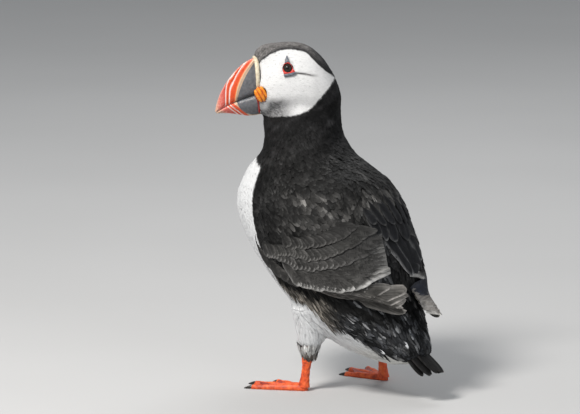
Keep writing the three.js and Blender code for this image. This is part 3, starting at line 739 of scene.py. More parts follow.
def spread_out(places, spacing):
    """The indices of the places that keep their spacing, in millimetres, from those kept before."""
    kept, cells = [], {}

    def free(p, key, gap):
        reach = int(np.ceil(gap / CELL))
        for step in product(range(-reach, reach + 1), repeat=3):
            for q in cells.get((key[0] + step[0], key[1] + step[1], key[2] + step[2]), ()):
                d = p - q
                if d[0] * d[0] + d[1] * d[1] + d[2] * d[2] < gap * gap:
                    return False
        return True

    keys = [tuple(key) for key in np.floor(places / CELL).astype(int).tolist()]
    for i, (p, key, gap) in enumerate(zip(places, keys, spacing)):
        if free(p, key, gap):
            kept.append(i)
            cells.setdefault(key, []).append(p)
    return np.array(kept)


def vane_template(sides, rings):
    """A flattened closed vane: for each corner its place along, across and up, and the faces."""
    shape = bmesh.new()
    bmesh.ops.create_uvsphere(shape, u_segments=sides, v_segments=rings, radius=1)
    co = np.array([v.co for v in shape.verts])
    along = 1 - (1 - np.arccos(np.clip(co[:, 2], -1, 1)) / np.pi) ** 1.7  # more rings towards the tip
    ring = np.hypot(co[:, 0], co[:, 1])
    across = np.where(ring > 1e-5, co[:, 0] / np.maximum(ring, 1e-9), 0)
    rise = np.where(ring > 1e-5, co[:, 1] / np.maximum(ring, 1e-9), 0)
    faces = [[v.index for v in f.verts] for f in shape.faces]
    shape.free()
    return along, across, rise, faces


def vane_width(t, tip_share):
    """A feather's half width along it, 1 at its widest; the rounded tip takes tip_share of the length."""
    tip = np.sqrt(np.clip(1 - np.clip((t - 1 + tip_share) / tip_share, 0, 1) ** 2, 0.0025, 1))
    return (0.35 + 0.65 * smooth_step(t, 0, 0.5)) * tip


def mesh_of_vanes(name, points, colours, template, patches, patch_size=0.003):
    """One mesh of many vanes: points and colours are [vane, corner]; patches are their places in the unwrap."""
    along, across, _, faces = template
    count, corners = points.shape[:2]
    corner_of = np.concatenate([np.array(f) for f in faces])
    sizes = np.array([len(f) for f in faces])

    def repeated(numbers, step):
        return (numbers[None] + step * np.arange(count)[:, None]).ravel().astype(np.int32)

    mesh = bpy.data.meshes.new(name)
    mesh.vertices.add(count * corners)
    mesh.vertices.foreach_set("co", points.reshape(-1))
    mesh.loops.add(count * len(corner_of))
    mesh.loops.foreach_set("vertex_index", repeated(corner_of, corners))
    mesh.polygons.add(count * len(faces))
    starts = np.concatenate([[0], np.cumsum(sizes)[:-1]])
    mesh.polygons.foreach_set("loop_start", repeated(starts, len(corner_of)))
    mesh.update(calc_edges=True)
    vane = mesh.uv_layers.new(name="vane")
    flat = np.stack([(across[corner_of] + 1) / 2, along[corner_of]], -1)
    vane.data.foreach_set("uv", np.tile(flat, (count, 1)).ravel())
    bake = mesh.uv_layers.new(name="OFBake")
    patch = (flat - 0.5) * patch_size
    bake.data.foreach_set("uv", (patches[:, None] + patch[None]).reshape(-1))
    set_values(mesh, "plumage", colours.reshape(-1, 3))
    set_values(mesh, "number", np.repeat(rng.random(count), corners))
    return mesh


SMALL_VANE = vane_template(4, 4)
CONTOUR_VANE = vane_template(6, 6)


def lay_on_skin(roots, normals, lies, sizes, template, tip_share, clings=False):
    """Vanes that follow the skin from their roots: [vane, corner] points in metres."""
    along, across, rise, _ = template
    side = np.cross(normals, lies)
    length, width, lift = (sizes[:, i][:, None] for i in range(3))
    half = width / 2 * vane_width(along, tip_share)[None] * across[None]
    curl = rng.normal(0, 0.10, (len(roots), 1)) * length * along[None] ** 2
    flat = (roots[:, None] + lies[:, None] * (length * along[None])[..., None] * MM
            + side[:, None] * (half + curl)[..., None] * MM)
    up = lift * (0.12 + 0.88 * along[None] ** 1.25)
    up = up + width * 0.09 * (1 - across[None] ** 2) * np.sin(np.pi * along[None]) ** 0.5
    up = up + rise[None] * np.minimum(0.16, width * 0.06) * np.sin(np.pi * along[None]) ** 0.5
    under, facing = np.empty_like(flat), np.empty_like(flat)
    find = skin_tree.find_nearest
    for i, vane in enumerate(flat):
        for j, p in enumerate(vane):
            under[i, j], facing[i, j] = find(p)[:2]
    # where the skin turns away, as at the ankle and over the tail, a vane runs on straight
    follows = np.maximum(smooth_step((facing * normals[:, None]).sum(-1), 0.25, 0.7), clings)[..., None]
    rise_by = up[..., None] * MM
    return (under + facing * rise_by) * follows + (flat + normals[:, None] * rise_by) * (1 - follows)


def tone_vanes(colour, template, spread, fringe, fringe_share):
    """Each vane's corner colours: one tone of its own, paler at the rim of its tip."""
    along = template[0]
    count = len(colour)
    colour = colour if colour.ndim == 3 else np.repeat(colour[:, None], len(along), 1)
    tone = np.exp(np.clip(rng.normal(0, 1, count), -2, 1.4) * spread)[:, None, None]
    rim = np.clip(smooth_step(along, 0.74, 0.97), 0, 1)[None, :, None]
    pale = colour.mean(-1, keepdims=True) > PALE_FROM
    shade = np.where(pale, 0.03, 0.35)  # dark feathers are darker at the root
    base = colour * np.where(pale, tone ** 0.1, tone) * (1 - shade * (1 - along[None, :, None]))
    share = (fringe_share * rng.uniform(0.1, 1.0, count))[:, None, None] * rim
    return np.clip(base * (1 - share) + fringe[:, None] * share, 0, 0.9)


ROOTS_TRIED = 220000
PALE_FROM = 0.3  # feathers paler than this count as white
SMALL_BELOW = 2.9  # narrower feathers, in millimetres, are small ones
WHITE_LIFT = 0.55  # how high a white feather's tip stands at most, in millimetres
CRISP = ("white_face_feathers", "crown_feathers", "neck_feathers", "breast_feathers")  # with sharp borders of colour
LOOSE = ("belly_and_thigh_feathers", "breast_feathers", "flank_feathers")
# How far the feathers of a piece differ in tone.
DARK_SPREAD = {"crown_feathers": 0.26, "neck_feathers": 0.35, "flank_feathers": 0.55, "rump_feathers": 0.7}
WHITE_SPREAD = {"belly_and_thigh_feathers": 0.7}
# Round bare places on each side of the head, as [x, height], their radii and how far they reach in those.
BARE_ROUNDS = [
    (EYE, (1, 1), 4.3),
    (ROSETTE_AT, (1, 1), 4.3),
    ((EYE[0] - 0.8, EYE[1] + 4.2), (1.0, 2.4), 1.3),
    ((EYE[0] - 1.4, EYE[1] - 5.1), (4.2, 1.5), 1.0),
]


def bare_at(body):
    """Where no feathers grow: round the eyes, gape, bill and feet, and under the wing's rows."""
    head = body_to_head(body)
    bare = (head[:, 0] > 26.5) & (np.abs(head[:, 1]) < 9.5) & (head[:, 2] > -24) & (head[:, 2] < 12.5)
    bare |= body[:, 2] < 24.6
    for side, sign in SIDES.items():
        for (x, z), (long, high), reach in BARE_ROUNDS:
            near = np.hypot((head[:, 0] - x) / long, (head[:, 2] - z) / high) < reach
            bare |= (head[:, 1] * sign > 6) & near
        w, c, _ = np.moveaxis(body_to_wing(body, side), -1, 0)
        over = over_wing(body, side)
        rim = np.interp(w, WING["w"], WING["high"]) - 5
        rows = np.interp(c, [-20, -6, 3, 10, 17, 23, 31], [24, 38, 52, 60, 64, 66, 68])
        bare |= (over > -4) & (w > rows) & (c < rim)
        bare |= (over > -11) & (w > 55) & (w < 112) & (c > level(WING_UNDER_EDGE, w) + 2.5) & (c < 8)
    return bare


def coat_pieces(body, dark, on_head, small):
    """Which feathers each piece of the coat holds; each takes from what those before it left."""
    rear, high = body[:, 0] < -28, body[:, 2]
    on_wings = {side: over_wing(body, side) > -6 for side in SIDES}
    chosen_by = [("white_face_feathers", on_head & ~dark), ("crown_feathers", on_head),
                 ("covert_feathers_left", on_wings["left"] & dark), ("covert_feathers_right", on_wings["right"] & dark),
                 ("neck_feathers", dark & small & (high > 120)), ("breast_feathers", ~dark & (high > 84)),
                 ("belly_and_thigh_feathers", ~dark), ("mantle_feathers", dark & (high > 84)),
                 ("flank_feathers", dark & ~rear), ("rump_feathers", dark & rear)]
    rest = np.ones(len(body), bool)
    for name, chosen in chosen_by:
        yield name, rest & chosen
        rest = rest & ~chosen


def coat():
    """Feathers over the whole skin, in pieces small enough for the export."""
    picked, weights = scatter(ROOTS_TRIED)
    weights = weights[..., None]
    corners = skin_triangles[picked]
    places = (skin_corners[corners] * weights).sum(1)
    normals = unit((skin_normals[corners] * weights).sum(1))
    uv = (skin_uv[skin_loops[picked]] * weights).sum(1)
    body, facing = part_to_body(places), turn_to_body(normals)
    lie, sizes = coat_at(body, facing)
    spacing = np.sqrt(sizes[:, 0] * sizes[:, 1] * 0.6 / LAYERS) * 0.84
    kept = np.flatnonzero(~bare_at(body))
    kept = kept[spread_out(body[kept], spacing[kept])]
    body, facing, lie, sizes, uv, places = (a[kept] for a in (body, facing, lie, sizes, uv, places))
    colour = plumage_at(body + lie * (sizes[:, :1] * 0.45))
    dark = colour.mean(1) < PALE_FROM
    jitter = rng.normal(0, 0.10, len(lie))[:, None]
    lie = unit(lie + np.cross(facing, lie) * jitter)
    sizes = sizes * np.exp(rng.normal(0, [0.10, 0.08, 0.16], sizes.shape))
    sizes[:, 2] = np.where(dark, sizes[:, 2], np.minimum(sizes[:, 2], WHITE_LIFT))
    on_head = body[:, 2] + 0.25 * body_to_head(body)[:, 0] > 171
    sizes[on_head & ~dark, 2] *= 0.4
    for name, chosen in coat_pieces(body, dark, on_head, sizes[:, 1] < SMALL_BELOW):
        fine, some_dark = sizes[chosen, 1].mean() < SMALL_BELOW, dark[chosen].any()
        template = SMALL_VANE if fine else CONTOUR_VANE
        clings = name.startswith("covert") or not some_dark
        points = lay_on_skin(places[chosen], turn_to_part(facing[chosen]), turn_to_part(lie[chosen]),
                             sizes[chosen], template, 0.55 if fine or name in LOOSE else 0.36, clings)
        tone = colour[chosen]
        spread = np.where(dark[chosen], DARK_SPREAD.get(name, 0.58), WHITE_SPREAD.get(name, 0.25))
        fringe = np.where(dark[chosen][:, None], np.minimum(0.03 + tone * 3.2, 0.2), tone)
        share = np.where(dark[chosen], 0.0 if fine or name in CRISP else 0.5, 0.0)
        if name in CRISP:
            tone = plumage_at(part_to_body(points).reshape(-1, 3)).reshape(points.shape)
        colours = tone_vanes(tone, template, spread, fringe, share)
        mesh = mesh_of_vanes(name, points, colours, template, uv[chosen])
        slot = "white_plumage" if not some_dark else ("black_plumage" if fine else "grey_plumage")
        piece(name, mesh, vane_material, slot, sharp=60)


coat()


# ---------- wings ----------
LONG_VANE = vane_template(12, 18)


def long_vane(root, tip, width, layer, side, bow, tip_share):
    """A flight feather or long covert on the wing's outer side, from root to tip in [w, c]."""
    along, across, rise, _ = LONG_VANE
    root, tip = np.array(root, float), np.array(tip, float)
    way = tip - root
    length = np.hypot(*way)
    way /= length
    aside = np.array([-way[1], way[0]])
    half = width / 2 * vane_width(along, tip_share) * across
    bend = bow * length * np.sin(np.pi * along)
    w = root[0] + way[0] * length * along + aside[0] * (half + bend)
    c = root[1] + way[1] * length * along + aside[1] * (half + bend)
    t = np.interp(w, wing_line["w"](wing_steps), wing_steps)
    c = np.where(w < 100, np.clip(c, wing_line["low"](t) + 0.8, wing_line["high"](t) - 0.8), c)
    camber = 0.055 * width * (1 - across ** 2) * np.sin(np.pi * along) ** 0.4
    height = layer[0] + (layer[1] - layer[0]) * along + camber + rise * 0.2 * np.sin(np.pi * along) ** 0.4
    rim = wing_line["high"](t)
    height = height - 2.2 * smooth_step(c, rim - 6, rim - 0.8) * (w < 92)  # tucked under the scapulars
    return on_wing(w, c, height, side)


def along_line(points):
    """A place on a line of [w, c] by its share of the line's length."""
    points = np.array(points, float)
    far = np.concatenate([[0], np.cumsum(np.linalg.norm(np.diff(points, axis=0), axis=1))])
    return lambda u: np.array([np.interp(u * far[-1], far, points[:, i]) for i in (0, 1)])


# Each tract lies over the one before it; its tips' line goes from the lower front corner up to the back.
# The lengths, in millimetres, and the lies, in degrees, run along that line too.
TRACTS = {
    "primary coverts": {
        "tips": [(28, -19.5), (46, -18), (60, -15)], "count": 7, "lengths": (22, 24, 24), "width": 7.5,
        "layer": (-1.8, -0.9), "lies": (2, 12), "tone": (0.026, 0.025, 0.024), "fringe": (0.10, 0.097, 0.092),
        "rim": 1.0},
    "secondaries": {
        "tips": [(60.5, -13.3), (72.2, -7), (88.5, 2.6), (95.2, 9), (95.2, 15), (91, 20.5), (82.5, 27)],
        "count": 27, "lengths": (28, 34, 15), "width": 10.0, "layer": (-2.0, -0.5), "lies": (-12, 2),
        "tone": (0.074, 0.072, 0.069), "fringe": (0.60, 0.59, 0.57), "rim": 1.3},
    "greater coverts": {
        "tips": [(27, -14), (46, -5.2), (56.7, -2.6), (67.8, 5.2), (75.5, 12), (80, 18), (82.5, 24), (80, 31)],
        "count": 27, "lengths": (11, 15, 15), "width": 6.6, "layer": (-1.7, -0.1), "lies": (-14, 0),
        "tone": (0.052, 0.0505, 0.049), "fringe": (0.21, 0.205, 0.198), "rim": 0.8},
    "median coverts": {
        "tips": [(34, -8), (47, 1.5), (58, 6), (66, 12), (71, 19), (74, 26), (73, 33)], "count": 26,
        "lengths": (9, 12, 12), "width": 5.8, "layer": (-1.2, 0.35), "lies": (-14, 2),
        "tone": (0.046, 0.045, 0.043), "fringe": (0.15, 0.146, 0.14), "rim": 0.7},
    "upper coverts": {
        "tips": [(40, 3), (52, 11), (60, 18), (65, 25), (66, 33)], "count": 18, "lengths": (9, 11, 11),
        "width": 5.4, "layer": (-1.2, 0.45), "lies": (-14, 2), "tone": (0.036, 0.035, 0.034),
        "fringe": (0.12, 0.117, 0.112), "rim": 0.7},
}


def painted(tone, fringe, rim, length):
    """Corner colours of one long vane: its tone with painted shade darkening it towards the root, a darker shaft and a
    thin pale rim round the tip.
    """
    along, across, _, _ = LONG_VANE
    edge = smooth_step(along, 1 - 2.2 * rim / length, 1 - 0.6 * rim / length)
    edge = np.maximum(edge, 0.45 * smooth_step(np.abs(across), 0.55, 1.0) * smooth_step(along, 0.1, 0.5))
    colour = np.array(tone)[None] * np.exp(rng.normal(0, 0.16)) * (1 - 0.25 * bump_at(across, 0, 0.16))[:, None]
    # painted shade: darker towards the root, where the feathers lying over it shade it
    colour = colour * (0.3 + 0.7 * along)[:, None]
    return np.clip(colour * (1 - edge[:, None]) + np.array(fringe)[None] * edge[:, None], 0, 0.9)


PRIMARY_TIPS = {  # outermost first
    "left": [(123, 7), (118, 8), (114, 8.8), (110, 9.7), (103.5, 9.3), (97.5, 7.5), (92.4, 4.5), (85, 3)],
    "right": [(127, 8.1), (122.5, 8.8), (118, 9.4), (113, 10), (107, 10), (101, 9), (94, 7), (86, 3)],
}
# The tone and fringe of each wing's primaries from the given one on. From the fifth on, the right wing's primaries are
# near-black with a blue cast: painted shade with a painted bluish sky reflection.
PRIMARY_TONES = {
    "left": [(0, (0.072, 0.069, 0.064), (0.30, 0.285, 0.27))],
    "right": [(0, (0.16, 0.15, 0.14), (0.55, 0.55, 0.53)), (1, (0.16, 0.15, 0.14), (0.26, 0.25, 0.24)),
              (4, (0.010, 0.012, 0.020), (0.05, 0.052, 0.06))],
}


def primaries(side):
    for k, tip in enumerate(PRIMARY_TIPS[side]):
        root = (46, -12.5 + 1.5 * k)
        layer = (-4.8 + 0.32 * k, -1.9 + 0.08 * k)
        _, tone, fringe = [tones for tones in PRIMARY_TONES[side] if tones[0] <= k][-1]
        vane = long_vane(root, tip, 10.0 + 0.3 * k, layer, side, -0.022 + 0.003 * k, 0.14)
        yield vane, painted(tone, fringe, 0.7, 84)


def tract_feathers(tract, side):
    edge, width, base = along_line(tract["tips"]), tract["width"], np.array(tract["tone"])
    steep, flat = tract["lies"]
    short, long, last = tract["lengths"]
    for i in range(tract["count"]):
        u = i / (tract["count"] - 1)
        lie = np.radians(np.interp(u, [0, 0.45, 1], [steep, steep * 0.2, flat]) + rng.normal(0, 1.2))
        length = np.interp(u, [0, 0.4, 0.55, 1], [short, long, long, last])
        tip = edge(u) + rng.normal(0, 0.45, 2)
        root = tip - length * np.array([np.cos(lie), np.sin(lie)])
        above = 0.03 * i - 0.4 * smooth_step(u, 0.6, 0.9) - (1.6 * smooth_step(u, 0.2, 0.5) if side == "right" else 0)
        layer = np.array(tract["layer"]) + above
        vane = long_vane(root, tip, width, layer, side, 0.012, min(0.5, 0.62 * width / length))
        dim = rng.uniform(0.6, 1.0) * (1 - 0.7 * smooth_step(u, 0.6, 0.9))
        fringe = base + (np.array(tract["fringe"]) - base) * dim
        yield vane, painted(tract["tone"], fringe, tract["rim"], length)


def wing_feathers(side):
    feathers = list(primaries(side))
    for tract in TRACTS.values():
        feathers += tract_feathers(tract, side)
    points, colours = zip(*feathers)
    return np.array(points), np.array(colours)


def strip_patches(count):
    """Places for large vanes on their own unwrap, one cell each, and how much of a cell they fill."""
    columns = int(np.ceil(np.sqrt(count)))
    i = np.arange(count)
    return np.stack([(i % columns + 0.5) / columns, (i // columns + 0.5) / columns], -1), 0.9 / columns


def large_vanes(name, points, colours, template, slot):
    mesh = mesh_of_vanes(name, points, colours, template, *strip_patches(len(points)))
    return piece(name, mesh, vane_material, slot, sharp=60)


for side in SIDES:
    quills = large_vanes(f"wing_feathers_{side}", *wing_feathers(side), LONG_VANE, "flight_feathers")
    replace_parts(quills, f"wing_primaries_{side}")

# Long feathers that lie from the right shoulder over the back, as root and tip in the body frame, width and pale rim.
BACK_FEATHERS = [
    ((-27, -10, 124), (-38, -31.5, 88), 12, 0.30), ((-29, -2, 124), (-42.5, -25.5, 81), 12, 0.34),
    ((-31, 6, 122), (-44.5, -20.5, 78), 12, 0.40), ((-33.5, 13, 118), (-45.5, -14, 80), 10, 0.60),
    ((-24, -22, 127), (-33.5, -30, 104), 9.5, 0.12), ((-26, -13, 128), (-38, -20, 101), 9.5, 0.14),
    ((-28, -6, 127), (-40.5, -11, 101), 9.5, 0.20), ((-29, 2, 126), (-41, -3.5, 103), 9.5, 0.30),
    ((-29.5, 9, 125), (-41, 4, 105), 9, 0.34), ((-29.5, 15, 124), (-39.5, 10, 108), 8, 0.30),
]
UPPER_BACK = 4  # from here on they are the upper row


def back_feathers():
    """The feathers over the back, with a shorter one over the root of each in the upper row."""
    rows = [(np.array(root, float), np.array(tip, float), width, rim) for root, tip, width, rim in BACK_FEATHERS]
    for root, tip, width, rim in rows[UPPER_BACK:]:
        back = root - tip
        rows.append((root + back * 0.18 + rng.normal(0, 1, 3), tip + back * 0.42 + rng.normal(0, 1, 3),
                     width * 0.75, rim * 0.5))
    roots, tips = (body_to_part([f[i] for f in rows]) for i in (0, 1))
    normals = np.array([skin_tree.find_nearest((a + b) / 2)[1] for a, b in zip(roots, tips)])
    way = tips - roots
    way = way - normals * (way * normals).sum(1, keepdims=True)
    length = np.linalg.norm(way, axis=1) / MM
    lift = [2.5 if i < UPPER_BACK else (3.0 if i < len(BACK_FEATHERS) else 3.3) for i in range(len(rows))]
    sizes = np.array([[long * 1.03, f[2] * 0.86, high] for long, f, high in zip(length, rows, lift)])
    points = lay_on_skin(roots, normals, unit(way), sizes, LONG_VANE, 0.24)
    colours = [painted((0.015, 0.0155, 0.018), grey(f[3] * (0.75 if i < UPPER_BACK else 0.4)), 0.8, size[0])
               for i, (f, size) in enumerate(zip(rows, sizes))]
    return points, np.array(colours)


large_vanes("scapulars_and_tertials", *back_feathers(), LONG_VANE, "flight_feathers")

# ---------- tail ----------
TAIL = {"root": (-57, 38), "tip": (-81.5, 18.5), "root_half": 7, "tip_half": 8.2, "count": 18}


def straight_vane(start, way, aside, above, length, width, camber, tip_share, template):
    """A vane that stands free of the skin: body points in millimetres."""
    along, across, rise, _ = template
    half = width / 2 * vane_width(along, tip_share) * across
    height = camber * (1 - across ** 2) * np.sin(np.pi * along) ** 0.5 + rise * 0.16 * np.sin(np.pi * along) ** 0.4
    return start + way * (length * along)[:, None] + aside * half[:, None] + above * height[:, None]


def tail_feathers():
    points, colours = [], []
    root, tip = np.array(TAIL["root"], float), np.array(TAIL["tip"], float)
    for i in range(TAIL["count"]):
        # from the middle pair, on top, to the outer pair
        spot = (i // 2 + 1) / (TAIL["count"] / 2) * (1 if i % 2 else -1)
        start = np.array([root[0] + 6, spot * TAIL["root_half"], root[1] + 4 - 1.2 * abs(spot) * 2])
        end = np.array([tip[0] + 5.0 * spot ** 2 + rng.normal(0, 2.2), spot * TAIL["tip_half"] + rng.normal(0, 0.7),
                        tip[1] + 1.6 - 1.9 * abs(spot) + rng.normal(0, 0.3)])
        way = end - start
        length = np.linalg.norm(way)
        way /= length
        aside = unit(np.array([0.0, 1.0, 0.0]) - way * way[1] + np.array([0, 0, rng.normal(0, 0.10)]))
        above = np.cross(way, aside)
        above *= np.sign(above[2])
        points.append(body_to_part(straight_vane(start, way, aside, above, length, 7.0, 0.7, 0.3, LONG_VANE)))
        colours.append(painted((0.008, 0.0078, 0.0082), (0.028, 0.026, 0.025), 0.8, length))
    return np.array(points), np.array(colours)


tail = large_vanes("tail_feathers", *tail_feathers(), LONG_VANE, "tail_feathers")
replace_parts(tail, "tail")

# ---------- bill ----------
CULMEN = [(22, 15.5), (28.5, 14.5), (35.5, 11), (42, 5), (47.8, -2.6), (52.3, -11.5), (54.9, -20.6)]
GAPE = [(22, -7.5), (28, -9.6), (34, -11.8), (40, -14), (45.5, -16.4), (50.5, -19), (54.6, -21.6)]
KEEL = [(22, -23), (28, -24), (33, -24.2), (38, -23.4), (43.5, -22.6), (48.5, -22.2), (53.2, -22.4)]
BILL_HALF, BILL_TIP_HALF = 8.2, 1.6
culmen_line, gape_line, keel_line = through(CULMEN), through(GAPE), through(KEEL)


def growth(x, z, upper):
    """How far along the bill's growth rings a point is; it equals x at the gape."""
    rise = np.clip(z + 14, 0, None)
    lean = (1 - smooth_step(x, 42, 46)) * 0.0167 * rise ** 2 + smooth_step(x, 42, 46) * 0.0008 * rise ** 3
    drop = np.clip(-14.6 - 0.25 * (x - 40) - z, 0, None)
    return x + lean if upper else x + 0.95 * drop


# Rings as [growth, relief in mm]: raised ridges between two pale grooves.
GROOVES = [(45.7, 0.7, -0.34), (48.0, 0.55, -0.30), (44.0, 1.3, 0.16), (46.9, 0.7, 0.12), (41.0, 0.8, 0.42)]


def mandible(edge, inner, edge_sharpness, upper):
    def place(t, angle):
        top, bottom = edge(t), inner(t) - (0 if upper else np.array([0, 0.3]))
        full = round_end(t, 0.03) * round_end(1 - t, 0.08)
        away = (1 + np.cos(angle)) / 2
        spread = power(np.sin(angle), 0.72) * (1 - edge_sharpness * away) * full
        half = BILL_HALF + (BILL_TIP_HALF - BILL_HALF) * t ** 0.8
        stretch = np.cos(angle) * full
        x = (top[:, 0] + bottom[:, 0]) / 2 + (top[:, 0] - bottom[:, 0]) / 2 * stretch
        z = (top[:, 1] + bottom[:, 1]) / 2 + (top[:, 1] - bottom[:, 1]) / 2 * stretch
        rings = growth(x, z, upper)
        relief = sum(depth * bump_at(rings, centre, width) for centre, width, depth in GROOVES)
        y = spread * half
        y = y + np.sign(y) * np.minimum(np.abs(y), 1) * relief
        return head_to_part(np.stack([x, y, z], -1))

    return ball_loft(110, 72, place)


def bill_values(obj, upper):
    head = body_to_head(part_to_body(corners_of(obj.data)))
    x, z = head[:, 0], head[:, 2]
    set_values(obj.data, "growth", growth(x, z, upper))
    if upper:
        rise = np.clip(z + 12.3, 0, None)
        slate = (40 - 0.012 * rise ** 2 - 0.19 * rise) - x
    else:
        slate = (1.03 - np.hypot((x - 29) / 11.3, (z + 12) / 11.0)) * 11
    set_values(obj.data, "slate", slate)
    outline = np.array([(culmen_line if upper else keel_line)(s) for s in np.linspace(0, 1, 200)])
    rim = np.sqrt(((np.stack([x, z], -1)[:, None] - outline[None]) ** 2).sum(-1)).min(1)
    set_values(obj.data, "rim", rim)


CREAM, ORANGE, VERMILION = (0.58, 0.41, 0.28), (0.67, 0.068, 0.008), (0.54, 0.048, 0.024)
PALE_GROOVE, PINK, TIP = (0.70, 0.56, 0.53), (0.62, 0.13, 0.10), (0.50, 0.31, 0.20)


BANDS_FROM, BANDS_LONG = 38.0, 18.0
# The bill's colours as [growth, colour], for the upper bill and then the lower.
BANDS = {
    True: [(40.2, CREAM), (41.2, CREAM), (41.6, (0.78, 0.27, 0.07)), (42.1, ORANGE), (44.8, ORANGE),
           (45.1, PALE_GROOVE), (45.6, PALE_GROOVE), (45.9, ORANGE), (47.4, ORANGE), (47.65, PALE_GROOVE),
           (48.1, PALE_GROOVE), (48.4, VERMILION), (51.5, PINK), (54.5, TIP)],
    False: [(40.5, CREAM), (42.6, CREAM), (43.0, ORANGE), (44.9, ORANGE), (45.2, PALE_GROOVE),
            (45.8, PALE_GROOVE), (46.1, ORANGE), (47.1, ORANGE), (47.4, PALE_GROOVE), (48.1, PALE_GROOVE),
            (48.4, VERMILION), (52.0, PINK), (55.0, TIP)],
}


def bill_material(name, upper):
    material, shader = new_material(name, 0.36, Specular_IOR_Level=0.5, Coat_Weight=0.12, Coat_Roughness=0.3,
                                    Subsurface_Weight=0.06, Subsurface_Scale=0.002)
    ring = attribute(material, "growth", "Fac")
    wobble = times(material, math(material, "SUBTRACT", noise_of(material, 260, 2), 0.5), 0.7)
    place = math(material, "DIVIDE", math(material, "SUBTRACT", plus(material, ring, wobble), BANDS_FROM), BANDS_LONG,
                 clamp=True)

    colour = ramp(material, place, [((at - BANDS_FROM) / BANDS_LONG, tone) for at, tone in BANDS[upper]])
    worn = ramp(material, noise_of(material, 900, 4, 0.7), [(0.45, grey(0.0)), (0.72, grey(1.0))])
    worn = times(material, worn, ramp(material, place, [(0.5, grey(0.06)), (0.75, grey(0.5))]))
    colour = mixed(material, worn, colour, (0.78, 0.50, 0.43, 1))
    slate = plus(material, attribute(material, "slate", "Fac"), times(material, wobble, 0.5))
    slate_tone = ramp(material, noise_of(material, 420, 5, 0.65),
                      [(0.3, (0.080, 0.083, 0.092)), (0.7, (0.17, 0.174, 0.188))])
    colour = mixed(material, times(material, plus(material, slate, 0.15), 3.0, clamp=True), colour, slate_tone)
    if upper:
        rim = attribute(material, "rim", "Fac")
        near = math(material, "SUBTRACT", 1.0, times(material, rim, 1.5), clamp=True)
        colour = mixed(material, times(material, near, 0.45), colour, (0.80, 0.50, 0.42, 1))
    scratches = node(material, "ShaderNodeCombineXYZ", X=times(material, ring, 9.0), Y=0.0, Z=0.0).outputs[0]
    lines = noise_of(material, 1.0, 3, 0.7, scratches)
    mottle = noise_of(material, 700, 4, 0.6)
    colour = mixed(material, 0.5, colour, ramp(material, mottle, [(0.3, grey(0.74)), (0.7, grey(1.1))]), "MULTIPLY")
    bumped(material, shader, plus(material, times(material, lines, 0.6), mottle), 0.00016, 0.8)
    coloured(material, shader, colour, ramp(material, mottle, [(0.3, grey(0.3)), (0.75, grey(0.5))]))
    return material


for name, upper, edge, sharpness in (("upper", True, culmen_line, 0.75), ("lower", False, keel_line, 0.55)):
    horn = bill_material(f"{name}_bill_horn", upper)
    bill = finished(f"bill_{name}_horn", mandible(edge, gape_line, sharpness, upper), horn, "bill_horn")
    bill_values(bill, upper)
    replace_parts(bill, f"bill_{name}")


def speckled(name, tones, scale, roughness, bump=0.00015, **settings):
    """A horn or skin finish: a few tones over a fine noise, with bump from the same noise."""
    material, shader = new_material(name, roughness, **settings)
    spots = noise_of(material, scale, 4, 0.6)
    stops = [(0.28 + 0.44 * i / (len(tones) - 1), tone) for i, tone in enumerate(tones)]
    fine = noise_of(material, scale * 3, 3, 0.6)
    bumped(material, shader, plus(material, spots, times(material, fine, 0.5)), bump, 0.8)
    low, high = max(roughness - 0.1, 0.05), min(roughness + 0.12, 1)
    rough = ramp(material, fine, [(0.3, grey(low)), (0.7, grey(high))])
    coloured(material, shader, ramp(material, spots, stops), rough)
    return material


# ---------- the band at the bill's base ----------
BAND = {"x": 27.2, "middle": 2.6, "half_height": 13.4, "half": 10.4, "lean": 0.04, "width": 2.7}
cream_horn = speckled("cream_horn", [(0.42, 0.34, 0.22), (0.66, 0.58, 0.42), (0.76, 0.71, 0.58)], 700, 0.45)


def band_shape():
    """A swollen strip from one corner of the gape over the culmen to the other."""
    def place(t, angle):
        around = np.radians(-128 + 256 * t)
        full = round_end(t, 0.06) * round_end(1 - t, 0.06)
        thick, wide = 1.0 * full, BAND["width"] / 2 * full * (1 + 0.12 * np.cos(around))
        up = BAND["middle"] + np.cos(around) * (BAND["half_height"] - 1.0)
        aside = np.sign(np.sin(around)) * np.abs(np.sin(around)) ** 0.85 * (BAND["half"] - 1.2)
        lump = 1 + 0.05 * np.sin(around * 21)
        out = np.stack([np.zeros_like(t), np.sin(around), np.cos(around)], -1)
        middle = np.stack([BAND["x"] + BAND["lean"] * (up - BAND["middle"]), aside, up], -1)
        p = middle + out * (np.sin(angle) * thick * lump)[:, None]
        p[:, 0] += np.cos(angle) * wide
        return head_to_part(p)

    return ball_loft(96, 16, place)


band = finished("bill_band_cream", band_shape(), cream_horn, "cream_horn")
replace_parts(band, "bill_band")

# ---------- rosettes, eyes and their horny plates ----------
rosette_skin = speckled("rosette_skin", [(0.70, 0.13, 0.004), (0.86, 0.27, 0.008), (0.92, 0.42, 0.03)], 520, 0.42,
                        Coat_Weight=0.1, Coat_Roughness=0.35, Subsurface_Weight=0.08, Subsurface_Scale=0.001)
# painted shade: the valleys between the rosette's lobes are darkened towards deep red
fold_shade_mask = attribute(rosette_skin, "fold", "Fac")
rosette_shader = rosette_skin.node_tree.nodes["Principled BSDF"]
fleshy_tone = rosette_shader.inputs["Base Color"].links[0].from_socket
fold_shaded_tone = mixed(rosette_skin, times(rosette_skin, fold_shade_mask, 0.85), fleshy_tone, (0.32, 0.022, 0.002, 1))
coloured(rosette_skin, rosette_shader, fold_shaded_tone)
lid_skin = speckled("red_lid_skin", [(0.42, 0.012, 0.006), (0.74, 0.03, 0.012)], 900, 0.4,
                    Coat_Weight=0.15, Coat_Roughness=0.3)
slate_horn = speckled("slate_horn", [(0.05, 0.058, 0.075), (0.14, 0.155, 0.185)], 800, 0.42)
gape_skin = speckled("gape_skin", [(0.16, 0.008, 0.006), (0.36, 0.02, 0.012)], 900, 0.4)


ROSETTE_LEAN = np.radians(60)  # the folds run down towards the back


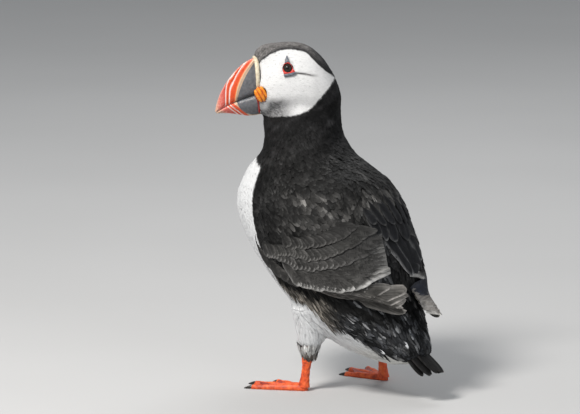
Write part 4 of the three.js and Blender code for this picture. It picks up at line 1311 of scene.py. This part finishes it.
def rosette(side):
    """The fleshy rosette at the corner of the gape: a tilted pad of lobes with folds between them."""
    c, s = np.cos(ROSETTE_LEAN), np.sin(ROSETTE_LEAN)

    def place(t, angle):
        ring = np.sin(np.pi * t) ** 0.7
        along, across = 5.2 * ring * power(np.cos(angle), 0.85), 4.1 * ring * power(np.sin(angle), 0.8)
        lobes = np.cos(across * 2.35)
        along = along * (1 + 0.05 * lobes)
        folds = (0.42 * np.abs(lobes) ** 0.6 * np.sign(lobes)) * smooth_step(np.cos(np.pi * t), -0.1, 0.35)
        x, z = ROSETTE_AT[0] + (-along * c + across * s), ROSETTE_AT[1] + (-along * s - across * c)
        y = 10.4 + 2.4 * np.cos(np.pi * t) + folds
        return head_to_part(np.stack([x, SIDES[side] * y, z], -1))

    obj = finished(f"gape_rosette_{side}", ball_loft(40, 72, place), rosette_skin, "rosette_skin")
    head = body_to_head(part_to_body(corners_of(obj.data)))
    across = (head[:, 0] - ROSETTE_AT[0]) * s - (head[:, 2] - ROSETTE_AT[1]) * c
    # the fold attribute marks the valleys between the lobes, where the material paints shade
    set_values(obj.data, "fold", smooth_step(-np.cos(across * 2.35), 0.35, 0.95))
    return obj


def outline_radius(points):
    """The distance from the origin to a closed outline, by direction."""
    points = np.array(points, float)

    def radius(angle):
        way = np.stack([np.cos(angle), np.sin(angle)], -1)
        best = np.zeros(np.shape(angle))
        for a, b in zip(points, np.roll(points, -1, axis=0)):
            edge = b - a
            cross = way[..., 0] * edge[1] - way[..., 1] * edge[0]
            cross = np.where(np.abs(cross) < 1e-9, 1e-9, cross)
            far = (a[0] * edge[1] - a[1] * edge[0]) / cross
            share = (a[0] * way[..., 1] - a[1] * way[..., 0]) / cross
            best = np.maximum(best, np.where((far > 0) & (share >= -1e-6) & (share <= 1 + 1e-6), far, 0))
        return best

    return radius


# Outlines as [towards the bill, up] from the eye's centre.
RING_OUTLINE = [(3.15, -0.2), (2.75, 1.6), (1.7, 2.9), (0, 3.5), (-1.2, 3.6), (-2.6, 1.8), (-3.5, -0.6),
                (-4.8, -2.4), (-2.8, -3.2), (-0.4, -3.6), (2.6, -4.0), (3.15, -2)]
RING_INSIDE = 2.85
UPPER_PLATE = [(1.7, 2.8), (1.3, 5.0), (0.1, 7.9), (-0.5, 7.6), (-1.3, 5.0), (-1.7, 3.2), (0, 3.2)]
LOWER_PLATE = [(2.8, -3.9), (2.6, -6.0), (-0.3, -5.4), (-3.4, -4.7), (-6.0, -3.1), (-4.6, -2.3), (-0.4, -3.5)]


def eye_ring(side):
    """The red rim of the lids: round inside, drawn out to corners outside."""
    outer = outline_radius(RING_OUTLINE)

    def place(u, v):
        angle, around = 2 * np.pi * u, 2 * np.pi * v
        middle, half = (RING_INSIDE + outer(angle)) / 2, (outer(angle) - RING_INSIDE) / 2
        far = middle + half * np.cos(around)
        height = 0.1 + 0.5 * np.sin(around) + 0.08 * np.sin(9 * angle)
        return on_face(EYE[0] + far * np.cos(angle), EYE[1] + far * np.sin(angle), side, height)

    return grid_loft(96, 12, place)


def plate(outline, side):
    """A horny plate: a low pad with the given outline."""
    middle = np.mean(outline, axis=0)
    radius = outline_radius(np.array(outline) - middle)

    def place(t, angle):
        far = radius(angle) * np.sin(np.pi * t) ** 0.6
        height = 0.1 + 0.6 * np.cos(np.pi * t)
        x, z = EYE[0] + middle[0] + far * np.cos(angle), EYE[1] + middle[1] + far * np.sin(angle)
        return on_face(x, z, side, height)

    return ball_loft(16, 40, place)


def eye_material():
    material, shader = new_material("eye_glass", 0.26, Specular_IOR_Level=0.3, Coat_Weight=0.12, Coat_Roughness=0.12)
    spread = attribute(material, "spread", "Fac")
    fibres = noise_of(material, 2600, 3, 0.7)
    iris = mixed(material, fibres, (0.007, 0.005, 0.004, 1), (0.030, 0.019, 0.013, 1))
    pupil = ramp(material, spread, [(0.40, grey(0.0)), (0.46, grey(1.0))])
    colour = mixed(material, pupil, (0.002, 0.002, 0.002, 1), iris)
    edge = ramp(material, spread, [(0.72, grey(0.0)), (0.86, grey(1.0))])
    colour = mixed(material, edge, colour, (0.012, 0.010, 0.010, 1))
    coloured(material, shader, colour)
    bumped(material, shader, fibres, 0.00002, 0.2)
    return material


eye_glass = eye_material()


def eyeball(side):
    """The eye: a ball sunk in its socket, with a bulging cornea."""
    centre = part_to_body(on_face(*EYE, side, -2.85))
    out = unit(part_to_body(on_face(*EYE, side, 1.0)) - centre)
    turn = Vector((0, 0, 1)).rotation_difference(Vector(out)).to_matrix()
    ball = bmesh.new()
    bmesh.ops.create_uvsphere(ball, u_segments=40, v_segments=28, radius=1)
    spread = []
    for v in ball.verts:
        aside = np.hypot(v.co.x, v.co.y)
        spread.append(aside / 0.72 if v.co.z > 0 else 1.4)
        swell = 4.15 + (0.22 * float(bump_at(aside, 0, 0.45)) if v.co.z > 0 else 0)
        v.co = Vector(body_to_part(np.array(turn @ (v.co * swell)) + centre))
    bmesh.ops.recalc_face_normals(ball, faces=ball.faces)
    obj = finished(f"eyeball_{side}", ball, eye_glass, "eye")
    set_values(obj.data, "spread", spread)
    return obj


for side in SIDES:
    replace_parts(rosette(side), f"rosette_{side}")
    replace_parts(finished(f"lid_rim_{side}", eye_ring(side), lid_skin, "eyelid_skin"), f"eye_ring_{side}")
    for name, outline, node_name in (("over", UPPER_PLATE, "upper"), ("under", LOWER_PLATE, "lower")):
        pad = finished(f"plate_{name}_eye_{side}", plate(outline, side), slate_horn, "slate_horn")
        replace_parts(pad, f"eye_plate_{node_name}_{side}")
    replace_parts(eyeball(side), f"eye_{side}")


def gape_fold(side):
    """The dark red skin fold down the rear of the lower bill."""
    def place(t, angle):
        line = through([(28.5, -10.0), (27.0, -13.0), (25.9, -17.0), (25.4, -22.4)])(t)
        full = round_end(t, 0.2) * round_end(1 - t, 0.2)
        y = np.interp(t, [0, 0.5, 1], [8.2, 7.4, 4.4])
        x, y = line[:, 0] + 0.75 * np.cos(angle) * full, SIDES[side] * (y + 0.9 * np.sin(angle) * full)
        return head_to_part(np.stack([x, y, line[:, 1]], -1))

    return finished(f"gape_fold_{side}", ball_loft(24, 12, place), gape_skin, "rosette_skin")


for side in SIDES:
    gape_fold(side)

# ---------- legs and feet ----------
LEGS = {
    "left": {"heel": (8, 31), "ankle": (6, 28), "turn": 14},
    "right": {"heel": (-8, -31), "ankle": (-8, -28), "turn": -10},
}
SHANK_TOP, SHANK_FOOT = 30, 1.4  # heights
TOES = {"inner": (-24, 30, 3.1), "middle": (0, 38, 3.4), "outer": (20, 36, 3.1)}  # angle, length, root half width
leg_skin = speckled("leg_skin", [(0.30, 0.026, 0.006), (0.72, 0.090, 0.014), (0.80, 0.17, 0.03)], 330, 0.5, 0.0003,
                    Coat_Weight=0.08, Coat_Roughness=0.4, Subsurface_Weight=0.05, Subsurface_Scale=0.002)
web_skin = speckled("web_skin", [(0.16, 0.010, 0.006), (0.42, 0.030, 0.010)], 420, 0.5, 0.0003)
claw_horn = speckled("claw_horn", [(0.008, 0.007, 0.006), (0.03, 0.025, 0.022)], 900, 0.28)


def scutes(t, count, depth):
    """Relief of overlapping scales along a leg or toe."""
    return depth * (1 - np.abs(np.mod(t * count, 1.0) * 2 - 1) ** 6)


CUFF_FEATHERS = 190


def ankle_cuff(side):
    """Dark fringe of fine feathers from the thigh's end down round the top of the shank."""
    leg, points, colours = LEGS[side], [], []
    for i in range(CUFF_FEATHERS):
        angle, row = rng.uniform(0, 2 * np.pi), i / CUFF_FEATHERS
        out = np.array([np.cos(angle), np.sin(angle), 0.0])
        top = 33 - 7.5 * row + rng.normal(0, 0.5)
        shift = (top - 24) / 24
        centre = np.array([leg["ankle"][0] + shift, leg["ankle"][1], top])
        start = centre + out * (7.6, 6.6, 0) * (0.62 + 0.55 * (top - 25) / 8)
        way = unit(np.array([0, 0, -1.0]) - out * (0.28 if row < 0.6 else 0.16) + rng.normal(0, 0.05, 3))
        aside = unit(np.cross(way, out))
        above = unit(np.cross(aside, way))
        above *= np.sign(above @ out)
        length = rng.uniform(5.0, 7.0)
        points.append(body_to_part(straight_vane(start, way, aside, above, length, 1.5, 0.25, 0.5, SMALL_VANE)))
        dark = smooth_step(row + rng.normal(0, 0.16), 0.25, 0.75)
        tone = np.array((0.50, 0.50, 0.49)) * (1 - dark) + np.array((0.095, 0.082, 0.072)) * dark
        colours.append(np.repeat(tone[None] * np.exp(rng.normal(0, 0.2)), len(SMALL_VANE[0]), 0))
    return np.array(points), np.array(colours)


def shank(side):
    leg = LEGS[side]
    fore, wide = through([4.3, 4.1, 3.3, 3.5, 4.6]), through([3.5, 3.3, 2.5, 2.6, 3.6])

    def place(t, angle):
        full = round_end(t, 0.06) * round_end(1 - t, 0.04)
        front = smooth_step(np.cos(angle), 0.0, 0.7)
        relief = scutes(t, 11, 0.28) * front + 0.12 * np.sin(angle * 7 + t * 40) * (1 - front)
        ring = 0.35 * sum(bump_at(t, at, 0.018) for at in (0.26, 0.31, 0.37))
        (ankle_x, ankle_y), (heel_x, heel_y) = leg["ankle"], leg["heel"]
        x = ankle_x + (heel_x - ankle_x) * t + (fore(t) - 0.3 + relief + ring) * full * np.cos(angle)
        y = ankle_y + (heel_y - ankle_y) * t + (wide(t) - 0.2 + relief + ring) * full * np.sin(angle)
        return body_to_part(np.stack([x, y, SHANK_TOP + (SHANK_FOOT - SHANK_TOP) * t], -1))

    return ball_loft(90, 36, place)


def foot_place(side, angle, distance):
    leg = LEGS[side]
    a = np.radians(SIDES[side] * angle + leg["turn"])
    return np.stack([leg["heel"][0] + np.cos(a) * distance, leg["heel"][1] + np.sin(a) * distance], -1)


def along_toe(side, angle, distance, half, high):
    """Points beside a line out from the heel, never below the floor."""
    way = np.array(foot_place(side, angle, 1.0)) - foot_place(side, angle, 0.0)
    p = foot_place(side, angle, distance) + np.array([-way[1], way[0]]) * half[:, None]
    return body_to_part(np.stack([p[:, 0], p[:, 1], np.maximum(0, high)], -1))


def toe(side, angle, length, root):
    def place(t, around):
        full = round_end(t, 0.10) * round_end(1 - t, 0.06)
        pads = 1 + 0.05 * np.cos(2 * np.pi * (t * 3.0 + 0.1))
        half = (root + (1.7 - root) * t) * full * pads * np.cos(around)
        scale = scutes(t, 15, 0.16) * smooth_step(np.sin(around), 0.2, 0.8)
        high = ((4.6 + (2.6 - 4.6) * t) * pads + scale) * full * np.sin(around)
        return along_toe(side, angle, -3 + (length + 3) * t, half, high)

    return ball_loft(60, 20, place)


def claw(side, angle, length):
    def place(t, around):
        full = round_end(t, 0.10) * round_end(1 - t, 0.12)
        arch = np.sin(np.pi * t) * (1 - t)
        high = (2.3 - 1.6 * t) * full * np.sin(around)
        return along_toe(side, angle, length - 2.5 + 7.0 * t, (1.35 - 0.95 * t) * full * np.cos(around), high + arch)

    return ball_loft(24, 16, place)


WEB_THICK = 0.9


def web(side, first, second):
    """The web between two toes: a thin sheet that dips between them and ends in a scallop."""
    (a, la, _), (b, lb, _) = TOES[first], TOES[second]

    def place(u, v):
        angle = a + (b - a) * u
        reach = (la + (lb - la) * u - 3) * (1 - 0.16 * np.sin(np.pi * u))
        p = foot_place(side, angle, 2 + (reach - 2) * v)
        dip = np.sin(np.pi * u)
        wrinkle = 0.16 * np.sin(v * 34 + 3 * np.sin(u * 5)) * dip * v
        z = 1.9 - 0.9 * dip * v + wrinkle
        return body_to_part(np.stack([p[:, 0], p[:, 1], z], -1))

    sheet = grid_loft(24, 40, place)
    bmesh.ops.solidify(sheet, geom=sheet.faces[:], thickness=WEB_THICK * MM)
    bmesh.ops.recalc_face_normals(sheet, faces=sheet.faces)
    for v in sheet.verts:
        v.co.z = max(v.co.z, 0.0)
    return sheet


def joined(*shapes):
    whole = bmesh.new()
    for shape in shapes:
        mesh = bpy.data.meshes.new("part")
        shape.to_mesh(mesh)
        shape.free()
        whole.from_mesh(mesh)
        bpy.data.meshes.remove(mesh)
    return whole


for side in SIDES:
    large_vanes(f"ankle_feathers_{side}", *ankle_cuff(side), SMALL_VANE, "white_plumage")
    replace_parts(finished(f"scaled_shank_{side}", shank(side), leg_skin, "leg_skin"), f"shank_{side}")
    toes = joined(*(toe(side, *sizes) for sizes in TOES.values()))
    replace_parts(finished(f"toes_{side}", toes, leg_skin, "leg_skin"), f"foot_{side}")
    webs = joined(web(side, "inner", "middle"), web(side, "middle", "outer"))
    finished(f"webs_{side}", webs, web_skin, "leg_skin", sharp=50)
    for name, (angle, length, _) in TOES.items():
        curved = finished(f"curved_claw_{name}_{side}", claw(side, angle, length), claw_horn, "claw_horn")
        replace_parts(curved, f"claw_{name}_{side}")

# ---------- floor, light and camera ----------
floor_material, floor_shader = new_material("pale_floor", 0.85)
floor_tone = ramp(floor_material, noise_of(floor_material, 3, 2), [(0.3, grey(0.47)), (0.7, grey(0.49))])
coloured(floor_material, floor_shader, floor_tone)
ground = bmesh.new()
bmesh.ops.create_grid(ground, x_segments=2, y_segments=2, size=40)
floor_mesh = bpy.data.meshes.new("floor")
ground.to_mesh(floor_mesh)
ground.free()
floor_mesh.materials.append(floor_material)
floor = bpy.data.objects.new("floor", floor_mesh)
bpy.context.scene.collection.objects.link(floor)

CAMERA = {"azimuth": 133.0, "elevation": 9.5, "distance": 3.0, "lens": 277.9, "right": -0.03618, "up": 0.11926}


def view_axes(azimuth, elevation):
    a, e = np.radians(azimuth), np.radians(elevation)
    back = np.array([np.sin(a) * np.cos(e), -np.cos(a) * np.cos(e), np.sin(e)])
    right = np.array([np.cos(a), np.sin(a), 0.0])
    return right, np.cross(back, right), back


def aim(obj, place, target):
    obj.location = Vector(place)
    obj.rotation_euler = (Vector(target) - Vector(place)).to_track_quat("-Z", "Y").to_euler()


right, up, back = view_axes(CAMERA["azimuth"], CAMERA["elevation"])
target = body_to_part((0, 0, 0)) + right * CAMERA["right"] + up * CAMERA["up"]
camera = bpy.data.objects.new("camera", bpy.data.cameras.new("camera"))
camera.data.lens = CAMERA["lens"]
camera.data.sensor_width = 36
camera.data.clip_end = 100
bpy.context.scene.collection.objects.link(camera)
aim(camera, target + back * CAMERA["distance"], target)
bpy.context.scene.camera = camera


def softbox(name, azimuth, elevation, distance, size, watts, colour=(1, 1, 1)):
    """A square soft light, placed round the bird like the camera."""
    lamp = bpy.data.lights.new(name, "AREA")
    lamp.size = size
    lamp.energy = watts
    lamp.color = colour
    obj = bpy.data.objects.new(name, lamp)
    bpy.context.scene.collection.objects.link(obj)
    middle = body_to_part((0, 0, 120))
    aim(obj, middle + view_axes(azimuth, elevation)[2] * distance, middle)


softbox("key", 88, 50, 1.5, 0.42, 27, (1, 0.97, 0.93))
softbox("fill", 175, 22, 1.8, 1.2, 3.5, (0.93, 0.96, 1))
softbox("rim", 300, 50, 1.6, 0.7, 7)
world = bpy.data.worlds.new("studio")
world.use_nodes = True
world.node_tree.nodes["Background"].inputs["Color"].default_value = (0.80, 0.83, 0.86, 1)
world.node_tree.nodes["Background"].inputs["Strength"].default_value = 0.46
bpy.context.scene.world = world
bpy.context.scene.view_settings.view_transform = "Standard"
